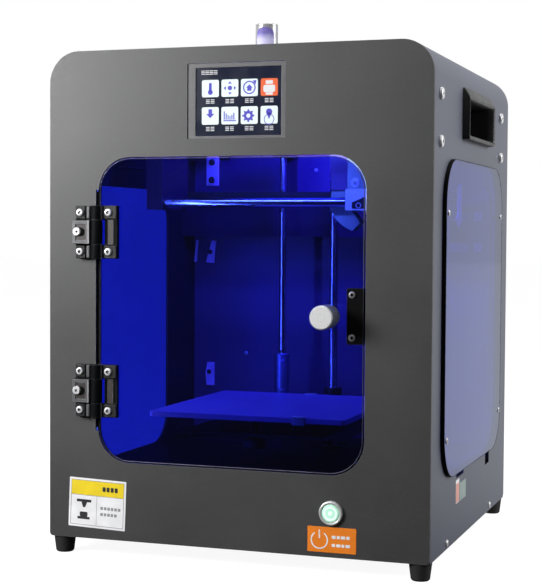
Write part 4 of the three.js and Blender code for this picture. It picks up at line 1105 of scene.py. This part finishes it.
def add_door_edges():
    """The frosted chamfer round the door's front, pale on its top as a painted highlight, and the near-black
    seal behind the doorway's rim, which is also painted shade for the gap.
    """
    (x0, _, z0), (x1, _, z1) = reach("front_door")

    def ring(by, y):
        corner = DOOR_CORNER - by
        return [(u, y, v) for u, v in outline(x0 + by, x1 - by, z0 + by, z1 - by, corner, 10)]

    chamfer = Piece()
    chamfer.skin([ring(0.02, 0.4), ring(0.3, -0.12), ring(0.75, -0.02), ring(0.5, 0.4)], (False, False), True)
    chamfer.make("door_edge_chamfer", "frosted", "door", "tinted_acrylic")
    rim, lip, front, back = -DOOR_GAP, -1.3 - DOOR_GAP, 2.15, 5.4
    # Painted shade: the seal ring and the strip left of the doorway are near black, for the dark gap round
    # the door.
    seal = Piece()
    seal.skin([ring(rim, front), ring(rim, back), ring(lip, back), ring(lip, front)], (False, False), True)
    strip = (x0 - DOOR_GAP - 6.5, x0 - DOOR_GAP - 0.2, z0 + DOOR_CORNER, z1 - DOOR_CORNER)
    seal.slab("y", strip, 0.3, 2.2, 4.4, 0.2)
    seal.make("doorway_seal_painted_shade", "black_and_shade", "case", "rubber")


def add_lid_knob_painted_reflection():
    """A painted reflection in the shape of an arch on the lid knob's front."""
    (x0, y0, _), (x1, y1, z1) = reach("lid_knob")
    x, y, radius = (x0 + x1) / 2, (y0 + y1) / 2, (x1 - x0) / 2
    inner, outer = radius - 0.1, radius + 0.12
    start, end, steps = math.radians(229), math.radians(329), 16
    low, spring, rise_by = z1 - 17.5, z1 - 8.5, 5.0
    loops = []
    for n in range(steps + 1):
        angle = start + (end - start) * n / steps
        top = spring + rise_by * math.sqrt(max(0.0, 1 - (2 * n / steps - 1) ** 2))
        corners = ((inner, low), (outer, low), (outer, top), (inner, top))
        loops.append([(x + r * math.cos(angle), y + r * math.sin(angle), z) for r, z in corners])
    reflection_arch = Piece()
    reflection_arch.skin(loops)
    reflection_arch.make("lid_knob_painted_reflection", "reflection_arch", "lid", "tinted_acrylic")


def add_wall_brackets():
    """Bright bracket plates, screws and rivets on the case's rear wall, and one plate on its right wall."""
    plates, black = Piece(), Piece()
    wall = reach("rear_panel")[0][1] - 0.3
    face = wall - 1.4
    plates.slab("y", (-99.5, -88, 276.5, 302), 1.0, 198, 200, 0.4)
    for z in (281.5, 297):
        black.screw("y", (-94, z), 198, -1, 2.9, 1.6)
    for points in (
        [(-148, 207.5), (-145.6, 207.5), (-143.7, 228), (-145.8, 228)],
        [(-136, 207), (-127.6, 206.6), (-125.6, 228), (-130, 228)],
        [(-134.5, 90.1), (-127, 90.1), (-126.8, 111.9), (-134, 111.9), (-136, 101)],
    ):
        plates.polygon("y", points, face, wall)
    # A very pale plate shaped to a bright patch on the right wall.
    cover = Piece()
    shape = [(88, 246), (95, 250), (95, 271), (105, 274), (109, 271), (109, 244), (98, 240)]
    cover.polygon("x", shape, CASE_SIDE - 3.1, CASE_SIDE - 2.2)
    cover.make("right_wall_pale_plate", "bright_plate", "case", "aluminium")
    for x, z in ((-131.6, 217), (-132, 103)):
        black.screw("y", (x, z), face, -1, 2.2, 1.3)
    plates.make("rear_bracket_plates", "bracket")
    black.make("rear_bracket_screws", "black_metal", "case", "black_metal")
    rivets = Piece()
    for x, z in ((-27, 293.8), (-95, 121.8)):
        rivets.screw("y", (x, z), wall, -1, 1.6, 1.0)
    rivets.make("rear_panel_rivets", "screw")


def middle(node):
    """A CAD node's middle, seen from above."""
    low, high = reach(node)
    return (low[0] + high[0]) / 2, (low[1] + high[1]) / 2


def add_bed_springs():
    carrier_top, bed_under = 79.2, reach("heated_bed")[0][2]
    low, rise_by = carrier_top + 0.5, bed_under - carrier_top - 1.0
    radius, turns, steps = 4, 4, 14
    springs = Piece()
    for name in ("front", "rear_left", "rear_right"):
        x, y = middle(f"level_knob_{name}")
        path = []
        for n in range(turns * steps + 1):
            angle = 2 * math.pi * n / steps
            z = low + rise_by * n / (turns * steps)
            path.append((x + radius * math.cos(angle), y + radius * math.sin(angle), z))
        springs.tube(path, 0.45, 6)
    springs.make("bed_springs", "steel", "bed", "bright_steel")


def add_bearing_sleeves():
    """The bed's two long bearings, each with a groove near both ends."""
    low, top = 90.2, 126.3
    full, chamfered, groove, bore = 6.8, 6.5, 6.55, 3.4
    rows = [(chamfered, low), (full, low + 0.4), (full, low + 4), (groove, low + 4.3)]
    rows += [(groove, low + 5.1), (full, low + 5.4), (full, top - 5.4), (groove, top - 5.1)]
    rows += [(groove, top - 4.3), (full, top - 4), (full, top - 0.4), (chamfered, top)]
    sleeves = Piece()
    for name in ("left", "right"):
        sleeves.turned("z", *middle(f"z_rod_{name}"), [*rows, (bore, top), (bore, low)], 28, closed=True)
    sleeves.make("bed_bearing_sleeves", "bearing", "bed", "bright_steel")


def add_bed_clips():
    high = reach("heated_bed")[1][2]
    clips = Piece()
    for x, y, out in ((38.5, 40, -1), (-3, 206, 1)):
        near, far, rim = y - out * 6, y, y + out * 1.2
        clips.slab("z", (x - 5, x + 5, *sorted((far, rim))), 0.4, high - 5.5, high + 0.9, 0.2)
        clips.slab("z", (x - 5, x + 5, *sorted((near, rim))), 0.6, high + 0.1, high + 0.9, 0.2)
    clips.make("bed_clips", "plate", "bed", "aluminium")


def add_thread():
    """The lead screw with its rolled thread, over the coupling's clamp."""
    (x0, _, z0), (x1, _, top) = reach("lead_screw")
    x, y = middle("lead_screw")
    pitch, starts, sides, step = 2.0, 4, 16, 0.5
    outer, depth, core, bore = 4.0, 0.55, 3.2, 2.8
    clamp = (x1 - x0) / 2

    def ring(radius, z, thread=0.0):
        loop = []
        for n in range(sides):
            angle = 2 * math.pi * n / sides
            phase = (z / (pitch * starts) + n / sides) * starts % 1.0
            r = radius - thread * abs(2 * phase - 1)
            loop.append((x + r * math.cos(angle), y + r * math.sin(angle), z))
        return loop

    coupling = [(bore, 6), (bore, 0), (clamp - 0.5, 0), (clamp, 0.5), (clamp, 3.6), (clamp - 0.6, 3.8)]
    coupling += [(clamp - 0.6, 4.4), (clamp, 4.6), (clamp, 7.5), (clamp - 0.5, 8.0), (outer, 8.0)]
    loops = [ring(radius, z0 + up) for radius, up in coupling]
    for n in range(int((top - z0 - 9.5) / step) + 1):
        loops.append(ring(outer, z0 + 8.5 + n * step, depth))
    loops.append(ring(core, top))
    piece = Piece()
    piece.skin(loops)
    piece.make("lead_screw_thread", "steel", "screw", "bright_steel", 60, ("lead_screw",))


def add_head_trim():
    """The print head's front: a bright plate with a bearing's face, a dark triangle of painted shade and
    screws.
    """
    (_, y0, _), (x1, _, _) = reach("x_carriage")
    left, front = HEAD_LEFT, y0 - 1.1
    bearing_x, bearing_z = left + 8, 275.2
    face = Piece()
    face.slab("y", (left + 0.1, x1 - 0.5, 253.2, 270.4), 0.5, front, y0 - 0.05, 0.25)
    rows = [(3.7, y0 + 0.1), (3.7, y0 - 0.8), (3.3, front), (2.4, front), (2.4, y0 - 0.4)]
    face.turned("y", bearing_x, bearing_z, rows, 24)
    face.make("carriage_bearing_plate", "bright_plate", "print_head", "aluminium")
    # Painted shade: a dark triangle on the bright plate.
    shade = Piece()
    points = [(5.5, 259.6), (12.5, 262.4), (16.6, 264.6), (16.6, 254.6), (5.6, 254.6)]
    shade.polygon("y", [(left + across, z) for across, z in points], front - 0.4, front + 0.05)
    shade.make("carriage_painted_shade", "plastic", "print_head", "black_plastic")
    bolts = Piece()
    bolts.screw("y", (bearing_x, bearing_z), y0 - 0.4, -1, 1.7, 1.0)
    for z in (281, 294):
        for x in (left + 24, left + 40):
            bolts.screw("y", (x, z), y0, -1, 2.6, 1.8)
    washer = [(2.3, front - 0.3), (2.3, front - 1.0), (1.6, front - 1.0), (1.6, front - 0.3)]
    bolts.turned("y", left + 11.2, 257.2, washer, 20, closed=True)
    bolts.make("carriage_screws", "screw", "print_head", "bright_steel")


MOTOR_HALF, MOTOR_LENGTH = 21.15, 34
MOTORS = {
    "x_motor": ("gantry", "z", (125, 183)),
    "y_motor": ("case", "x", (250, 318)),
    "extruder_motor": ("print_head", "y", (HEAD_LEFT + 20, 303)),
    "z_motor": ("case", "z", (5, 243)),
}


def add_motor_trim():
    """The two cast end caps of each motor."""
    for name, (body, axis, (u, v)) in MOTORS.items():
        low, high = reach(name)
        index = "xyz".index(axis)
        back = high[index] - MOTOR_LENGTH if name == "extruder_motor" else low[index]
        square = (u - MOTOR_HALF, u + MOTOR_HALF, v - MOTOR_HALF, v + MOTOR_HALF)
        caps = Piece()
        for start in (0.4, 25.6):
            caps.slab(axis, square, 4.4, back + start, back + start + 8, 0.4, 1)
        caps.make(f"{name}_end_caps", "aluminium", body, "aluminium")


# ---------- Top, back and underside ----------

LID_LEAF_TOP = CASE_TOP + 2.85
LID_HINGE_SCREWS = (-48, -16, 16, 48)


def add_outside():
    (inlet_left, _, inlet_low), (inlet_right, inlet_back, inlet_high) = reach("power_inlet")
    rear = reach("rear_panel")[1][1]
    steel, black, lid, pins, under = (Piece() for _ in range(5))
    for x in (-136, 136):
        for z in (20, 120, 240, 345):
            steel.screw("y", (x, z), rear, 1, 3.4, 1.7, "cross")
    for x in (-46, 0, 46):
        steel.screw("y", (x, 12), rear, 1, 3.4, 1.7, "cross")
    for x in (inlet_left + 3.6, inlet_right - 3.6):
        black.screw("y", (x, (inlet_low + inlet_high) / 2), inlet_back - 1.2, 1, 2.2, 1.2, "cross")
    black.make("inlet_screws", "black_metal", "case", "black_metal")
    for x in LID_HINGE_SCREWS:
        steel.screw("z", (x, reach("lid_hinge_base")[1][1] - 6), CASE_TOP, 1, 2.6, 1.4, "cross")
    steel.make("case_rear_screws", "screw")
    for x in LID_HINGE_SCREWS:
        lid.screw("z", (x, reach("lid_hinge_leaf")[0][1] + 5), LID_LEAF_TOP, 1, 2.6, 1.4, "cross")
    lid.make("lid_hinge_screws", "screw", "lid", "bright_steel")
    for n in range(3):
        x = inlet_left + 18 + n * 6
        pins.slab("y", (x - 1, x + 1, 20, 25), 0.4, rear - 15.5, rear - 4, 0.3)
    pins.make("inlet_pins", "brass")
    for x in (-120, 0, 120):
        for y in (12, 282):
            under.screw("z", (x, y), 0, -1, 3, 1.6, "cross")
    under.make("base_screws", "screw")


add_hinges()
add_screen()
add_button()
add_power_label()
add_info_label()
add_sides()
add_strike()
add_door_edges()
add_lid_knob_painted_reflection()
add_wall_brackets()
add_bed_springs()
add_bearing_sleeves()
add_bed_clips()
add_thread()
add_head_trim()
add_motor_trim()
add_outside()
